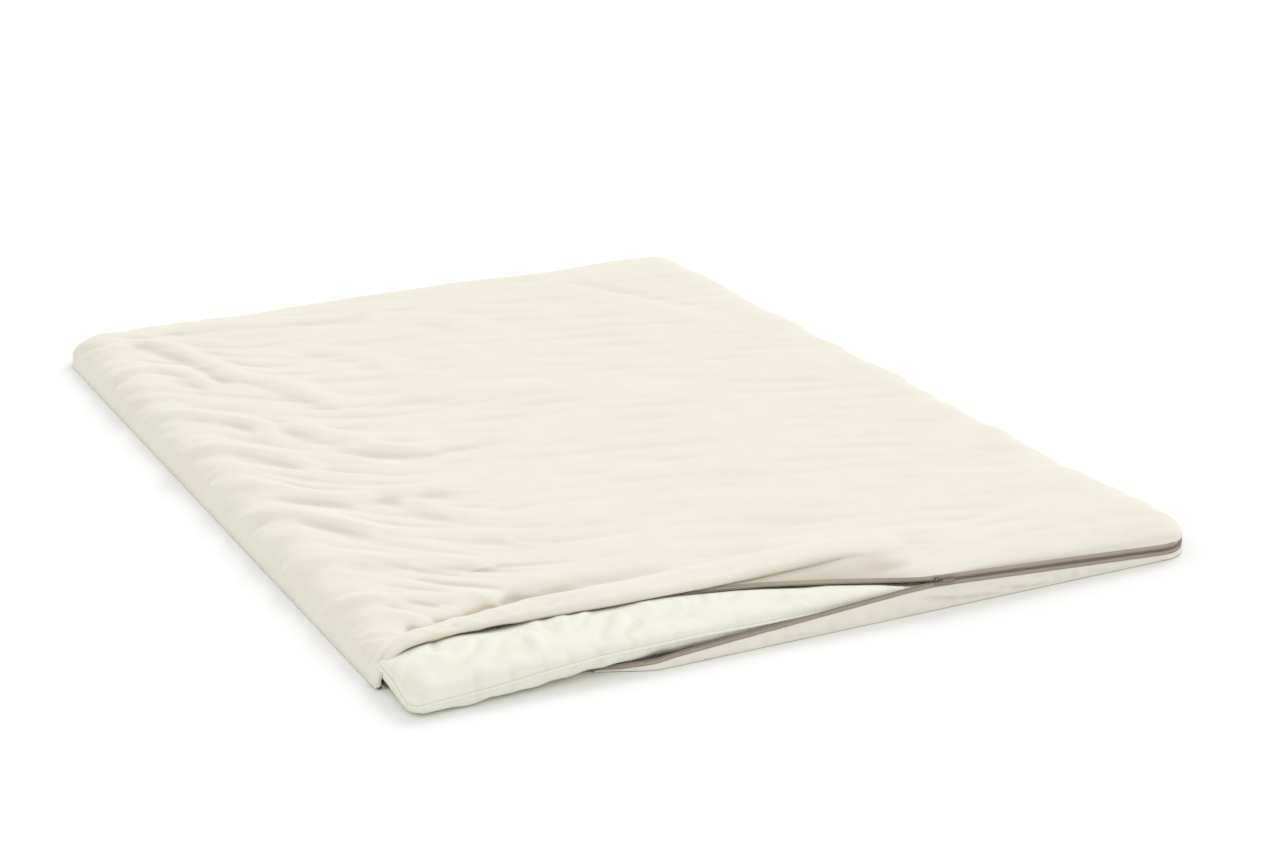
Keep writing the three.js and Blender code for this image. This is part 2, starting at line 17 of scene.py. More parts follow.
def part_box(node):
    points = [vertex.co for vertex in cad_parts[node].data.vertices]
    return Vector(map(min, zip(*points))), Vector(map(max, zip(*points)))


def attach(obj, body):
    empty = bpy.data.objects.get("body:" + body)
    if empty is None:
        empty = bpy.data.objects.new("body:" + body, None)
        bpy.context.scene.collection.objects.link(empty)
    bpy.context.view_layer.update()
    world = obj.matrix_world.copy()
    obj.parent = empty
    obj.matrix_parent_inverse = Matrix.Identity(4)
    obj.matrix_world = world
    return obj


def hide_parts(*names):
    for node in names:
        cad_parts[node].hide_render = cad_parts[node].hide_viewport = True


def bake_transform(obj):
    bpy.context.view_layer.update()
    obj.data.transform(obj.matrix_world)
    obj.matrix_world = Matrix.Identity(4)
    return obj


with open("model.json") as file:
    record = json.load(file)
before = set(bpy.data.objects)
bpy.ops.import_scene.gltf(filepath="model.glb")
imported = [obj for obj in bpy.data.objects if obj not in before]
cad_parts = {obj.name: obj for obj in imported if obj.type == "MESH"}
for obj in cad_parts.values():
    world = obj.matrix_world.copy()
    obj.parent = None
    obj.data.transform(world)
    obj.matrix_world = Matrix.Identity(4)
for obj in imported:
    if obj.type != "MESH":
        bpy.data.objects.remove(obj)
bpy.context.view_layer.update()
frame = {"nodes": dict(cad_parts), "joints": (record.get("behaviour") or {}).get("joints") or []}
MM = 0.001
JOINTS = {joint["name"]: joint for joint in frame["joints"]}


# ---- sizes taken from the frame ----------------------------------------------------------------
cover_low, cover_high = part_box("cover_top_panel")
HALF_W = cover_high.x
FRONT = cover_low.y
BACK = cover_high.y
TOP = cover_high.z - 1 * MM
SEAM_Z = cover_low.z
CORNER = 60 * MM
pad_low, pad_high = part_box("pad_ticking_upper")
HINGE_Y = JOINTS["upper_lip_lift"]["pos_m"][1]
LIP_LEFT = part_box("cover_upper_lip")[0].x
LIP_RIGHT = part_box("cover_upper_lip")[1].x
BAND_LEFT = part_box("zip_lower_tape_lip")[0].x
ZIP_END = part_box("cover_lower_band")[1].y
SLIDER_X, _, SLIDER_Z = JOINTS["pull_tab_flip"]["pos_m"]
RUN = Vector(JOINTS["slider_run"]["axis"])
CHAIN_LOW = 18 * MM
CLOTH_EDGE = 7.8 * MM          # chain centre to the turned cloth edge
TAPE_IN = 2.3 * MM             # depth of the tape behind the cloth
PULL_BACK = 34 * MM            # how far the band's free end lies behind the front


def smooth(value):
    t = np.clip(value, 0, 1)
    return t * t * (3 - 2 * t)


def chain_z(x):
    """Height of the closed chain's centre above the floor."""
    straight = SLIDER_Z + (np.asarray(x) - SLIDER_X) * RUN.z / RUN.x
    return np.maximum(straight, CHAIN_LOW)


# ---- mesh helpers ------------------------------------------------------------------------------
def new_object(name, points, faces, uv=None):
    mesh = bpy.data.meshes.new(name)
    mesh.from_pydata([tuple(p) for p in points], [], faces)
    mesh.update()
    if uv is not None:
        layer = mesh.uv_layers.new(name="cloth")
        loops = np.empty(len(mesh.loops), np.int32)
        mesh.loops.foreach_get("vertex_index", loops)
        layer.data.foreach_set("uv", np.asarray(uv)[loops].astype(np.float32).ravel())
    obj = bpy.data.objects.new(name, mesh)
    bpy.context.scene.collection.objects.link(obj)
    return obj


def grid_faces(rows, columns, loop=False):
    faces = []
    for j in range(rows - 1):
        for i in range(columns if loop else columns - 1):
            a = j * columns + i
            b = j * columns + (i + 1) % columns
            faces.append((a, b, b + columns, a + columns))
    return faces


def swept_faces(count, sides, closed=False):
    """Faces over rings of points: joined end to end if closed, and capped if not."""
    faces = grid_faces(count, sides, loop=True)
    last = (count - 1) * sides
    if closed:
        return faces + [(last + i, last + (i + 1) % sides, (i + 1) % sides, i) for i in range(sides)]
    return faces + [tuple(range(sides))[::-1], tuple(last + i for i in range(sides))]


def grid_object(name, grid, uv=None):
    rows, columns, _ = grid.shape
    flat_uv = None if uv is None else uv.reshape(-1, 2)
    return new_object(name, grid.reshape(-1, 3), grid_faces(rows, columns), flat_uv)


def shade_smooth(obj):
    obj.data.polygons.foreach_set("use_smooth", [True] * len(obj.data.polygons))
    obj.data.update()


def only(obj):
    bpy.ops.object.select_all(action="DESELECT")
    obj.select_set(True)
    bpy.context.view_layer.objects.active = obj


def apply_modifiers(obj):
    only(obj)
    for modifier in list(obj.modifiers):
        bpy.ops.object.modifier_apply(modifier=modifier.name)


def arc_length(points):
    """Distance along a list of points, from 0."""
    return np.concatenate([[0], np.cumsum(np.linalg.norm(np.diff(points, axis=0), axis=1))])


def grid_normals(grid):
    """Normals of a grid of points, pointing up or out where rows run away and columns right."""
    along = np.gradient(grid, axis=1)
    away = np.gradient(grid, axis=0)
    normal = np.cross(along, away)
    length = np.linalg.norm(normal, axis=2, keepdims=True)
    return normal / np.maximum(length, 1e-9)


def tube(name, path, radius, sides=8, closed=False, squash=1.0):
    """A tube along a list of points, flattened in height by squash."""
    path = np.asarray(path, float)
    run = np.gradient(path, axis=0)
    if closed:
        run = np.roll(path, -1, axis=0) - np.roll(path, 1, axis=0)
    run /= np.linalg.norm(run, axis=1, keepdims=True)
    side = np.cross(run, (0, 0, 1.0))
    side /= np.maximum(np.linalg.norm(side, axis=1, keepdims=True), 1e-9)
    up = np.cross(side, run)
    turn = np.linspace(0, 2 * math.pi, sides, endpoint=False)
    ring = (path[:, None] + radius * (np.cos(turn)[None, :, None] * side[:, None]
            + squash * np.sin(turn)[None, :, None] * up[:, None]))
    faces = [face[::-1] for face in swept_faces(len(path), sides, closed)]
    obj = new_object(name, ring.reshape(-1, 3), faces)
    shade_smooth(obj)
    return obj


# ---- folds, puckers and waves ------------------------------------------------------------------
def noise_sheet(u, v, seed):
    """Smooth noise over two arrays of places, from -1 to 1, made by a few random waves."""
    source = np.random.default_rng(seed)
    total = np.zeros_like(u)
    waves = 14
    for _ in range(waves):
        angle = source.uniform(0, 2 * math.pi)
        rate = source.uniform(0.6, 1.6)
        phase = source.uniform(0, 2 * math.pi)
        total += np.sin(2 * math.pi * rate * (u * math.cos(angle) + v * math.sin(angle)) + phase)
    return total / math.sqrt(waves)


def bezier(points, steps):
    """A smooth curve through a few points, as a list of places."""
    points = np.asarray(points, float)
    if len(points) == 2:
        share = np.linspace(0, 1, steps)[:, None]
        return points[0] * (1 - share) + points[1] * share
    padded = np.vstack([2 * points[0] - points[1], points, 2 * points[-1] - points[-2]])
    out = []
    for k in range(len(points) - 1):
        p0, p1, p2, p3 = padded[k:k + 4]
        for t in np.linspace(0, 1, steps, endpoint=False):
            out.append(0.5 * (2 * p1 + (p2 - p0) * t + (2 * p0 - 5 * p1 + 4 * p2 - p3) * t * t
                              + (3 * p1 - p0 - 3 * p2 + p3) * t ** 3))
    out.append(points[-1])
    return np.array(out)


class Cloth:
    """Heights that are added to a grid along its normals, in the cloth's own coordinates."""

    def __init__(self, u, v):
        self.u, self.v = u, v
        self.lift = np.zeros_like(u)

    def stroke(self, points, height, width, lean=0.0, fade=(0.25, 0.35)):
        """One fold along a curve. lean shares it between a ridge and a step with a shaded side."""
        curve = bezier(points, 8)
        reach = 3.2 * width
        low, high = curve.min(0) - reach, curve.max(0) + reach
        near = (self.u > low[0]) & (self.u < high[0]) & (self.v > low[1]) & (self.v < high[1])
        if not near.any():
            return
        p = np.stack([self.u[near], self.v[near]], axis=1)
        best = np.full(len(p), np.inf)
        side = np.zeros(len(p))
        share = np.zeros(len(p))
        length = arc_length(curve)
        for k in range(len(curve) - 1):
            a, b = curve[k], curve[k + 1]
            run = b - a
            t = np.clip(((p - a) @ run) / max(run @ run, 1e-12), 0, 1)
            off = p - (a + t[:, None] * run)
            gap = np.hypot(off[:, 0], off[:, 1])
            closer = gap < best
            best = np.where(closer, gap, best)
            cross = run[0] * off[:, 1] - run[1] * off[:, 0]
            side = np.where(closer, np.sign(cross), side)
            share = np.where(closer, (length[k] + t * (length[k + 1] - length[k])) / length[-1], share)
        x = best / width
        ridge = np.exp(-x * x)
        step = side * x * np.exp(-0.5 * x * x) * 1.2
        taper = smooth(share / max(fade[0], 1e-6)) if fade[0] > 0 else 1.0
        taper = taper * smooth((1 - share) / max(fade[1], 1e-6))
        self.lift[near] += height * taper * ((1 - abs(lean)) * ridge + lean * step)


# ---- the cover's top sheet ---------------------------------------------------------------------
SHOULDER = 74 * MM             # how far in the sewn sides roll over
SIDE_STEPS = 17
JOIN = 0.33                    # depth at which the zipped end's shape joins the flat top


def axis_run(low, high, bands):
    """Places from low to high; bands lists (until, spacing) from the low end on."""
    places = [low]
    for until, spacing in bands:
        while places[-1] < until - 0.5 * spacing:
            places.append(places[-1] + spacing)
    scale = (high - low) / (places[-1] - low)
    return low + (np.array(places) - low) * scale


def side_steps():
    """(distance in, share of the height, arc length left) on a rolled-over side."""
    turn = np.linspace(0, math.pi / 2, SIDE_STEPS)[:-1]
    inset = SHOULDER * (1 - np.cos(turn))
    share = np.sin(turn) ** 0.9
    left = SHOULDER * (math.pi / 2 - turn)
    return inset, share, left


def top_columns():
    """x, share of the side height, and cloth coordinate of each column."""
    inset, share, left = side_steps()
    flat_low, flat_high = -HALF_W + SHOULDER, HALF_W - SHOULDER
    flat = axis_run(flat_low, flat_high, [
        (flat_low + 0.42, 4.9 * MM),
        (flat_high - 0.08, 9.5 * MM),
        (flat_high, 5 * MM),
    ])
    x = np.concatenate([-HALF_W + inset, flat, (HALF_W - inset)[::-1]])
    height = np.concatenate([share, np.ones_like(flat), share[::-1]])
    cloth = np.concatenate([flat_low - left, flat, (flat_high + left)[::-1]])
    return x, height, cloth


# Shape of the zipped end at a few places along it: x, then depth and height in millimetres of
# the turned edge, the cloth that hangs behind it, the pocket under the fold, the fold's
# underside, front, shoulder and crest, the crease behind it, and the flat top. Right of the
# slider the heights are above the turned edge.
END_STATIONS = [
    (-0.690, [(146, 50), (143, 50), (140, 50), (135, 50.5), (128, 54),
              (128, 60), (146, 64), (170, 60), (204, 61)]),
    (-0.650, [(151, 51), (148, 51), (145, 51), (140, 50.5), (132, 54),
              (132, 62), (152, 66), (178, 57), (214, 61)]),
    (-0.600, [(157, 52), (154, 52), (151, 52), (147, 51), (139, 55),
              (140, 64), (164, 67), (192, 53), (232, 61)]),
    (-0.520, [(162, 52), (159, 52), (156, 52), (152, 51), (144, 55),
              (148, 65), (176, 67), (206, 48), (240, 59.5)]),
    (-0.430, [(160, 53), (157, 53), (154, 52), (149, 51.5), (140, 56),
              (149, 66), (185, 67.5), (229, 44), (262, 59)]),
    (-0.330, [(154, 53), (151, 53), (148, 52.5), (143, 52), (134, 56.5),
              (145, 66.5), (185, 68), (232, 44), (266, 59.5)]),
    (-0.240, [(144, 54), (143, 53.5), (142, 53), (138, 53), (129, 57),
              (141, 66.5), (182, 68), (228, 50), (268, 60)]),
    (-0.150, [(127, 53.5), (131, 54), (137, 54), (131, 54.5), (123, 58),
              (136, 67), (176, 68.5), (222, 59), (284, 61)]),
    (-0.060, [(110, 50), (120, 53), (132, 56), (127, 57), (119, 60.5),
              (132, 69), (168, 70), (218, 60), (284, 61)]),
    (0.040, [(84, 44.5), (100, 51), (126, 60), (124, 61.5), (117, 64.5),
             (130, 71.5), (162, 71.5), (212, 61), (280, 61)]),
    (0.110, [(50, 45), (76, 52), (113, 62), (118, 64.5), (118, 67),
             (132, 72), (160, 71.5), (208, 61.5), (276, 61)]),
    (0.155, [(18, 50), (50, 55), (90, 62.5), (106, 65.5), (121, 68.5),
             (136, 71), (162, 70), (206, 62), (270, 61)]),
    (0.186, [(2.5, 55), (12, 58.5), (50, 62), (90, 65), (117, 68),
             (140, 69.5), (166, 68.5), (208, 62.5), (266, 61)]),
    (0.215, [(2.5, 53.8), (12, 58), (48, 61.5), (88, 64), (116, 66),
             (140, 67.5), (168, 66.5), (210, 62.5), (264, 61)]),
    (0.300, [(2.5, 0), (8, 8), (24, 12.5), (52, 16), (82, 19),
             (116, 20.5), (158, 19), (208, 15.5), (262, 13)]),
    (0.460, [(2.5, 0), (7, 9), (20, 16), (44, 22), (70, 26), (98, 28), (132, 29), (178, 27), (236, 25)]),
    (0.640, [(2.5, 0), (7, 13), (20, 22), (44, 30), (68, 35), (92, 38), (122, 39.5), (164, 39), (224, 36.5)]),
    (0.690, [(2.5, 0), (7, 13), (20, 22), (44, 30), (68, 35), (92, 38), (122, 39.5), (164, 39), (224, 36.5)]),
]


def end_controls(x):
    """Depth and height of the zipped end's control points at x, in metres."""
    places = np.array([station[0] for station in END_STATIONS])
    rows = []
    for place, controls in END_STATIONS:
        base = 0.0
        if place > 0.25:
            base = (chain_z(place) + CLOTH_EDGE) / MM
        rows.append([(depth, height + base) for depth, height in controls] + [(JOIN / MM, TOP / MM)])
    table = np.array(rows) * MM
    k = int(np.clip(np.searchsorted(places, x) - 1, 0, len(places) - 2))
    t = (x - places[k]) / (places[k + 1] - places[k])
    return table[k] * (1 - t) + table[k + 1] * t


END_ROWS = 84


def end_profile(x):
    """Points from the turned edge to the join, evenly spaced along the cloth."""
    curve = bezier(end_controls(x), 12)
    length = arc_length(curve)
    share = np.linspace(0, 1, END_ROWS) ** 1.12 * length[-1]
    return np.stack([np.interp(share, length, curve[:, 0]), np.interp(share, length, curve[:, 1])], axis=1)


def blur_rows(profile_grid, passes):
    """Evens out the zipped end's shape from column to column."""
    for _ in range(passes):
        padded = np.concatenate([profile_grid[:, :1], profile_grid, profile_grid[:, -1:]], axis=1)
        profile_grid = 0.25 * padded[:, :-2] + 0.5 * padded[:, 1:-1] + 0.25 * padded[:, 2:]
    return profile_grid


def round_corner(x, y, sign_x, sign_y, edge_x, edge_y, radius):
    """Pulls the grid's square corner onto a round one."""
    u = np.clip((sign_x * x - (edge_x - radius)) / radius, 0, 1)
    v = np.clip((sign_y * y - (edge_y - radius)) / radius, 0, 1)
    inside = (u > 0) & (v > 0)
    new_x = sign_x * (edge_x - radius + radius * u * np.sqrt(1 - v * v / 2))
    new_y = sign_y * (edge_y - radius + radius * v * np.sqrt(1 - u * u / 2))
    return np.where(inside, new_x, x), np.where(inside, new_y, y)


def side_foot(x, y):
    """Height of the cover's lower edge on its long sides: the zip runs on along the right one."""
    zipped = smooth((ZIP_END + 0.03 - y) / 0.05) * (x > 0)
    return SEAM_Z + zipped * (CHAIN_LOW + CLOTH_EDGE - SEAM_Z)


def arch_normals(x, side):
    """Across the cover: the outward direction of the flat top and its two rolled-over sides."""
    run, climb = np.gradient(x), np.gradient(side * TOP)
    length = np.hypot(run, climb)
    return -climb / length, run / length


def top_sheet():
    x, side, cloth_x = top_columns()
    ends = np.stack([end_profile(value) for value in x], axis=1)
    ends = blur_rows(ends, 4)
    inset, share, left = side_steps()
    far_flat = BACK - SHOULDER
    middle = axis_run(FRONT + JOIN, far_flat, [(far_flat, 5.1 * MM)])[1:]
    far_y = (BACK - inset)[::-1]
    columns = len(x)
    y = np.concatenate([
        FRONT + ends[:, :, 0],
        np.repeat(middle[:, None], columns, axis=1),
        np.repeat(far_y[:, None], columns, axis=1),
    ])
    full = np.concatenate([
        ends[:, :, 1],
        np.full((len(middle), columns), TOP),
        np.full((len(far_y), columns), TOP),
    ])
    far = np.concatenate([np.ones(END_ROWS + len(middle)), share[::-1]])[:, None]
    grid_x = np.repeat(x[None, :], len(y), axis=0)
    foot = side_foot(grid_x, y)
    drop = SEAM_Z + (full - SEAM_Z) * far
    right_z = foot + (drop - foot) * side[None, :]
    out_x, out_z = arch_normals(x, side)
    off = (full - TOP) * far
    left_z = SEAM_Z + far * (TOP - SEAM_Z) * side[None, :] + off * out_z[None, :]
    on_left = grid_x < 0
    z = np.where(on_left, left_z, right_z)
    grid_x = np.where(on_left, grid_x + off * out_x[None, :], grid_x)
    far_v = np.repeat((far_flat + left)[::-1][:, None], columns, axis=1)
    cloth_v = np.concatenate([y[:END_ROWS + len(middle)], far_v])
    cloth_u = np.repeat(cloth_x[None, :], len(y), axis=0)
    grid_x, y = round_corner(grid_x, y, 1, -1, HALF_W, -FRONT, CORNER)
    grid_x, y = round_corner(grid_x, y, 1, 1, HALF_W, BACK, CORNER)
    grid_x, y = round_corner(grid_x, y, -1, 1, HALF_W, BACK, CORNER)
    return np.stack([grid_x, y, z], axis=2), cloth_u, cloth_v


# Long folds that run in from the left edge: the curve's points, height, width and lean.
LONG_FOLDS = [
    ([(-0.68, 0.76), (-0.58, 0.80), (-0.52, 0.72), (-0.49, 0.58), (-0.48, 0.34)], 7.0, 17, 0.45),
    ([(-0.71, 0.63), (-0.62, 0.63), (-0.55, 0.56), (-0.52, 0.38)], 6.0, 14, 0.45),
    ([(-0.53, 0.56), (-0.44, 0.46), (-0.38, 0.33), (-0.32, 0.15)], 5.0, 18, 0.5),
    ([(-0.49, 0.24), (-0.43, 0.09), (-0.36, -0.03), (-0.26, -0.05), (-0.12, -0.01)], 5.5, 18, 0.5),
    ([(-0.71, 0.38), (-0.62, 0.34), (-0.54, 0.24), (-0.50, 0.07)], 6.5, 14, 0.5),
    ([(-0.71, 0.16), (-0.61, 0.12), (-0.53, 0.01), (-0.50, -0.14)], 6.5, 14, 0.5),
    ([(-0.71, -0.02), (-0.62, -0.09), (-0.54, -0.20), (-0.36, -0.24), (-0.20, -0.19)], 6.0, 17, 0.5),
    ([(-0.71, -0.16), (-0.60, -0.26), (-0.53, -0.37), (-0.44, -0.49)], 6.5, 15, 0.5),
    ([(-0.45, -0.18), (-0.39, -0.34), (-0.31, -0.43), (-0.20, -0.46)], 4.5, 16, 0.5),
    ([(-0.71, -0.40), (-0.60, -0.47), (-0.48, -0.55), (-0.28, -0.62), (-0.06, -0.65)], 5.5, 17, 0.5),
    ([(-0.66, 0.86), (-0.45, 0.84), (-0.22, 0.80), (0.05, 0.80)], 4.0, 17, 0.4),
    ([(-0.14, 0.76), (0.02, 0.66), (0.12, 0.47)], 3.2, 26, 0.4),
    ([(-0.34, 0.66), (-0.22, 0.52), (-0.16, 0.30)], 3.4, 24, 0.4),
    ([(-0.25, 0.28), (-0.12, 0.20), (0.10, 0.17)], 3.0, 24, 0.4),
    ([(-0.10, -0.28), (0.06, -0.36), (0.26, -0.40)], 2.6, 26, 0.4),
    ([(0.30, 0.82), (0.42, 0.64), (0.50, 0.40)], 2.6, 24, -0.4),
    ([(-0.70, -0.60), (-0.60, -0.655), (-0.50, -0.70), (-0.40, -0.715)], 4.0, 13, 0.5),
]


def flow(u):
    """How far the cloth's folds have swept toward the zipped end at u."""
    return np.interp(u, [-0.72, -0.62, -0.50, -0.40, -0.30, 0.0, 0.3, 0.7],
                     [0.0, 0.07, 0.20, 0.28, 0.31, 0.35, 0.42, 0.55])


def pucker_rows(cloth, rng):
    """Short gathers that run in from the sewn sides, thick and thin in turns."""
    for side, spacing, reach, height in ((-1, 9.5, 78, 3.9), (1, 14, 60, 2.8)):
        y = FRONT + 0.14
        edge = side * (HALF_W - SHOULDER + SHOULDER * math.pi / 2)
        while y < BACK - 0.02:
            burst = 0.5 + 0.5 * math.sin(2 * math.pi * (y / 0.23 + 0.5 * math.sin(7 * y)))
            run = rng.uniform(0.4, 1.2) * reach * MM * (0.6 + 0.5 * burst)
            slant = rng.gauss(-0.1, 0.75)
            start = (edge - side * rng.uniform(0, 22) * MM, y)
            bend = (start[0] - side * 0.5 * run, y + 0.35 * slant * run + rng.gauss(0, 4) * MM)
            end = (start[0] - side * run, y + slant * run + rng.gauss(0, 6) * MM)
            cloth.stroke(
                [start, bend, end],
                rng.uniform(0.35, 1.1) * (0.5 + 0.6 * burst) * height * MM * rng.choice((1, 1, 1, -0.8)),
                rng.uniform(3.8, 7.0) * MM,
                lean=rng.uniform(-0.6, 0.6), fade=(0.12, 0.6))
            y += rng.uniform(0.4, 1.6) * spacing * MM
    x = -HALF_W + 0.03
    far_edge = BACK - SHOULDER + SHOULDER * math.pi / 2
    while x < HALF_W - 0.03:
        run = rng.uniform(30, 85) * MM
        cloth.stroke(
            [(x, far_edge - rng.uniform(0, 12) * MM), (x + rng.gauss(0, 16) * MM, far_edge - run)],
            rng.uniform(0.8, 3.0) * MM, rng.uniform(6, 11) * MM,
            lean=rng.uniform(-0.6, 0.6), fade=(0.1, 0.6))
        x += rng.uniform(12, 30) * MM


def fold_top(cloth, rng):
    for points, height, width, lean in LONG_FOLDS:
        cloth.stroke(points, 1.5 * height * MM, 1.25 * width * MM, lean, fade=(0.2, 0.45))
    pucker_rows(cloth, rng)
    swept = cloth.v + flow(cloth.u)
    left = smooth((-0.05 - cloth.u) / 0.45)
    wave = noise_sheet(cloth.u / 0.30, swept / 0.085, 71)
    crest = np.clip(1 - np.abs(noise_sheet(cloth.u / 0.42, swept / 0.115, 72)), 0, 1) ** 3
    cloth.lift += (0.5 + 0.6 * left) * MM * wave + (0.8 + 1.0 * left) * MM * crest
    for _ in range(60):
        x, y = rng.uniform(-0.58, 0.55), rng.uniform(-0.60, 0.84)
        run = rng.uniform(0.07, 0.2)
        sway = rng.gauss(0, 14) * MM
        points = [(x + share * run, y + flow(x) - flow(x + share * run) + share * sway)
                  for share in (0, 0.5, 1)]
        cloth.stroke(points, rng.uniform(0.5, 1.6) * MM, rng.uniform(7, 13) * MM,
                     lean=rng.uniform(-0.2, 0.6), fade=(0.4, 0.5))
    cloth.lift += 1.8 * MM * noise_sheet(cloth.u / 0.34, cloth.v / 0.26, 11)
    rim = smooth((np.abs(cloth.u) - 0.58) / 0.06)
    cloth.lift += rim * 2.0 * MM * noise_sheet(cloth.u / 0.5, cloth.v / 0.10, 12)


def near_folds(cloth, rng):
    """Gathers where the cover rolls down to the closed zip, and along the rolled lip."""
    x = 0.22
    while x < HALF_W:
        run = rng.uniform(30, 85) * MM
        cloth.stroke([(x, FRONT), (x + rng.gauss(0, 10) * MM, FRONT + run)],
                     rng.uniform(0.5, 1.7) * MM, rng.uniform(8, 15) * MM,
                     lean=rng.uniform(-0.6, 0.6), fade=(0.05, 0.6))
        x += rng.uniform(22, 52) * MM
    for height, width, points in (
            (3.4, 17, [(0.22, 0.060), (0.34, 0.085), (0.50, 0.090), (0.62, 0.105)]),
            (2.8, 13, [(0.30, 0.030), (0.42, 0.048), (0.56, 0.046)]),
            (2.6, 15, [(0.26, 0.125), (0.40, 0.150), (0.58, 0.150)]),
            (2.4, 11, [(0.50, 0.022), (0.60, 0.036), (0.68, 0.040)]),
            (-2.4, 12, [(0.10, 0.080), (0.15, 0.062), (0.20, 0.050)]),
            (2.0, 12, [(0.62, 0.075), (0.66, 0.060), (0.70, 0.070)])):
        cloth.stroke([(x, FRONT + y) for x, y in points], height * MM, width * MM, lean=0.4, fade=(0.3, 0.4))
    for x, tall in ((-0.60, 2.0), (-0.53, 1.6), (-0.45, 2.2), (-0.39, 1.4), (-0.28, 1.8),
                    (-0.16, 1.3), (-0.02, 1.5)):
        cloth.stroke([(x, FRONT + 0.135), (x + 0.05, FRONT + 0.165), (x + 0.12, FRONT + 0.175)],
                     tall * MM, 10 * MM, lean=0.4, fade=(0.3, 0.5))
    seam = -HALF_W - 0.035
    for x0, y0, x1, y1, height in (
            (0.028, 0.150, 0.052, 0.138, -6.0), (0.030, 0.136, 0.050, 0.152, -5.0),
            (0.020, 0.172, 0.075, 0.190, 3.0), (0.015, 0.196, 0.080, 0.225, 3.0),
            (0.02, 0.23, 0.09, 0.28, 2.6)):
        cloth.stroke([(seam + x0, FRONT + y0), (seam + x1, FRONT + y1)], height * MM, 5.5 * MM,
                     lean=0.0 if height < 0 else 0.4, fade=(0.2, 0.3))
    cloth.stroke([(seam + 0.01, BACK - 0.06), (-0.66, BACK - 0.10), (-0.62, BACK - 0.15)], -4 * MM, 7 * MM)


def soften(values, passes):
    """Evens out a grid of heights from point to point."""
    for _ in range(passes):
        for axis in (0, 1):
            count = values.shape[axis]
            before = values.take([0, *range(count - 1)], axis)
            after = values.take([*range(1, count), count - 1], axis)
            values = 0.25 * before + 0.5 * values + 0.25 * after
    return values


def hollows(grid, passes, depth):
    """How far each point lies below its surroundings, from 0 to 1."""
    z = grid[:, :, 2]
    return np.clip((soften(z, passes) - z) / depth, 0, 1)


# Stores per point how much painted shade darkens the cloth's colour, for the shade that falls in its folds
# and creases.
def set_painted_shade(obj, values):
    attribute = obj.data.attributes.new("hollow", "FLOAT", "POINT")
    attribute.data.foreach_set("value", np.asarray(values, np.float32).ravel())


def settle(cloth, grid):
    """Turned edges and seams stay where they are sewn."""
    cloth.lift = soften(cloth.lift, 1)
    rows = np.arange(grid.shape[0])[:, None]
    hold_near = smooth((rows - 2) / 8)
    inset = np.minimum(HALF_W - np.abs(grid[:, :, 0]), BACK - grid[:, :, 1])
    hold_side = 0.12 + 0.88 * smooth(grid[:, :, 2] / (26 * MM))
    cloth.lift *= hold_near * np.where(inset < SHOULDER, hold_side, 1)


def cut(grid, uv, normals, hollow, keep, name):
    """One piece of a grid, with the whole grid's normals, so that a cut doesn't show."""
    rows, columns, _ = grid.shape
    faces = grid_faces(rows, columns)
    chosen = [face for face, wanted in zip(faces, keep.ravel()) if wanted]
    used = sorted({index for face in chosen for index in face})
    new_index = {old: new for new, old in enumerate(used)}
    points = grid.reshape(-1, 3)[used]
    obj = new_object(name, points, [tuple(new_index[i] for i in face) for face in chosen],
                     uv.reshape(-1, 2)[used])
    shade_smooth(obj)
    flat = normals.reshape(-1, 3)[used]
    obj.data.normals_split_custom_set_from_vertices([tuple(n) for n in flat])
    set_painted_shade(obj, hollow.ravel()[used])
    return obj


LIP_MIDDLE = 0.5 * (LIP_LEFT + LIP_RIGHT)


def make_top():
    rng = random.Random(7)
    grid, u, v = top_sheet()
    cloth = Cloth(u, v)
    fold_top(cloth, rng)
    near_folds(cloth, rng)
    settle(cloth, grid)
    grid = grid + cloth.lift[:, :, None] * grid_normals(grid)
    grid[:, :, 2] = np.maximum(grid[:, :, 2], 1 * MM)
    normals = grid_normals(grid)
    uv = np.stack([u, v], axis=2)
    # Painted shade for the top sheet's colour: darker in its hollows, strongest in the crease behind the
    # rolled lip, and fading out low on the sides and at the far edge.
    shade_behind_lip = smooth((-0.30 - grid[:, :, 0]) / 0.10) * (np.arange(len(grid))[:, None] < END_ROWS + 4)
    hollow = (0.5 + 1.1 * shade_behind_lip) * hollows(grid, 14, 1.6 * MM) + 0.7 * hollows(grid, 60, 7 * MM)
    hollow *= smooth((grid[:, :, 2] - 30 * MM) / (22 * MM)) * smooth((BACK - 0.05 - grid[:, :, 1]) / 0.05)
    x, depth = grid[:, :, 0], grid[:, :, 1] - FRONT
    row = np.arange(len(grid))[:, None]
    # More painted shade on the drape that hangs under the open lip left of the slider, where the roll shades
    # it.
    drape_shade = smooth((x + 0.20) / 0.12) * smooth((0.19 - x) / 0.16) * smooth((0.135 - depth) / 0.04)
    hollow += 0.9 * drape_shade * (row < 40)
    centre = 0.25 * (grid[:-1, :-1] + grid[1:, :-1] + grid[:-1, 1:] + grid[1:, 1:])
    rows = np.arange(grid.shape[0] - 1)[:, None]
    lip = ((centre[:, :, 1] < HINGE_Y) & (centre[:, :, 0] > LIP_LEFT) & (centre[:, :, 0] < LIP_RIGHT)
           & (rows < END_ROWS))
    left = lip & (centre[:, :, 0] < LIP_MIDDLE)
    right = lip & ~left
    top = cut(grid, uv, normals, hollow, ~lip, "cover_top")
    lip_left = cut(grid, uv, normals, hollow, left, "cover_lip_left")
    lip_right = cut(grid, uv, normals, hollow, right, "cover_lip_right")
    return top, lip_left, lip_right


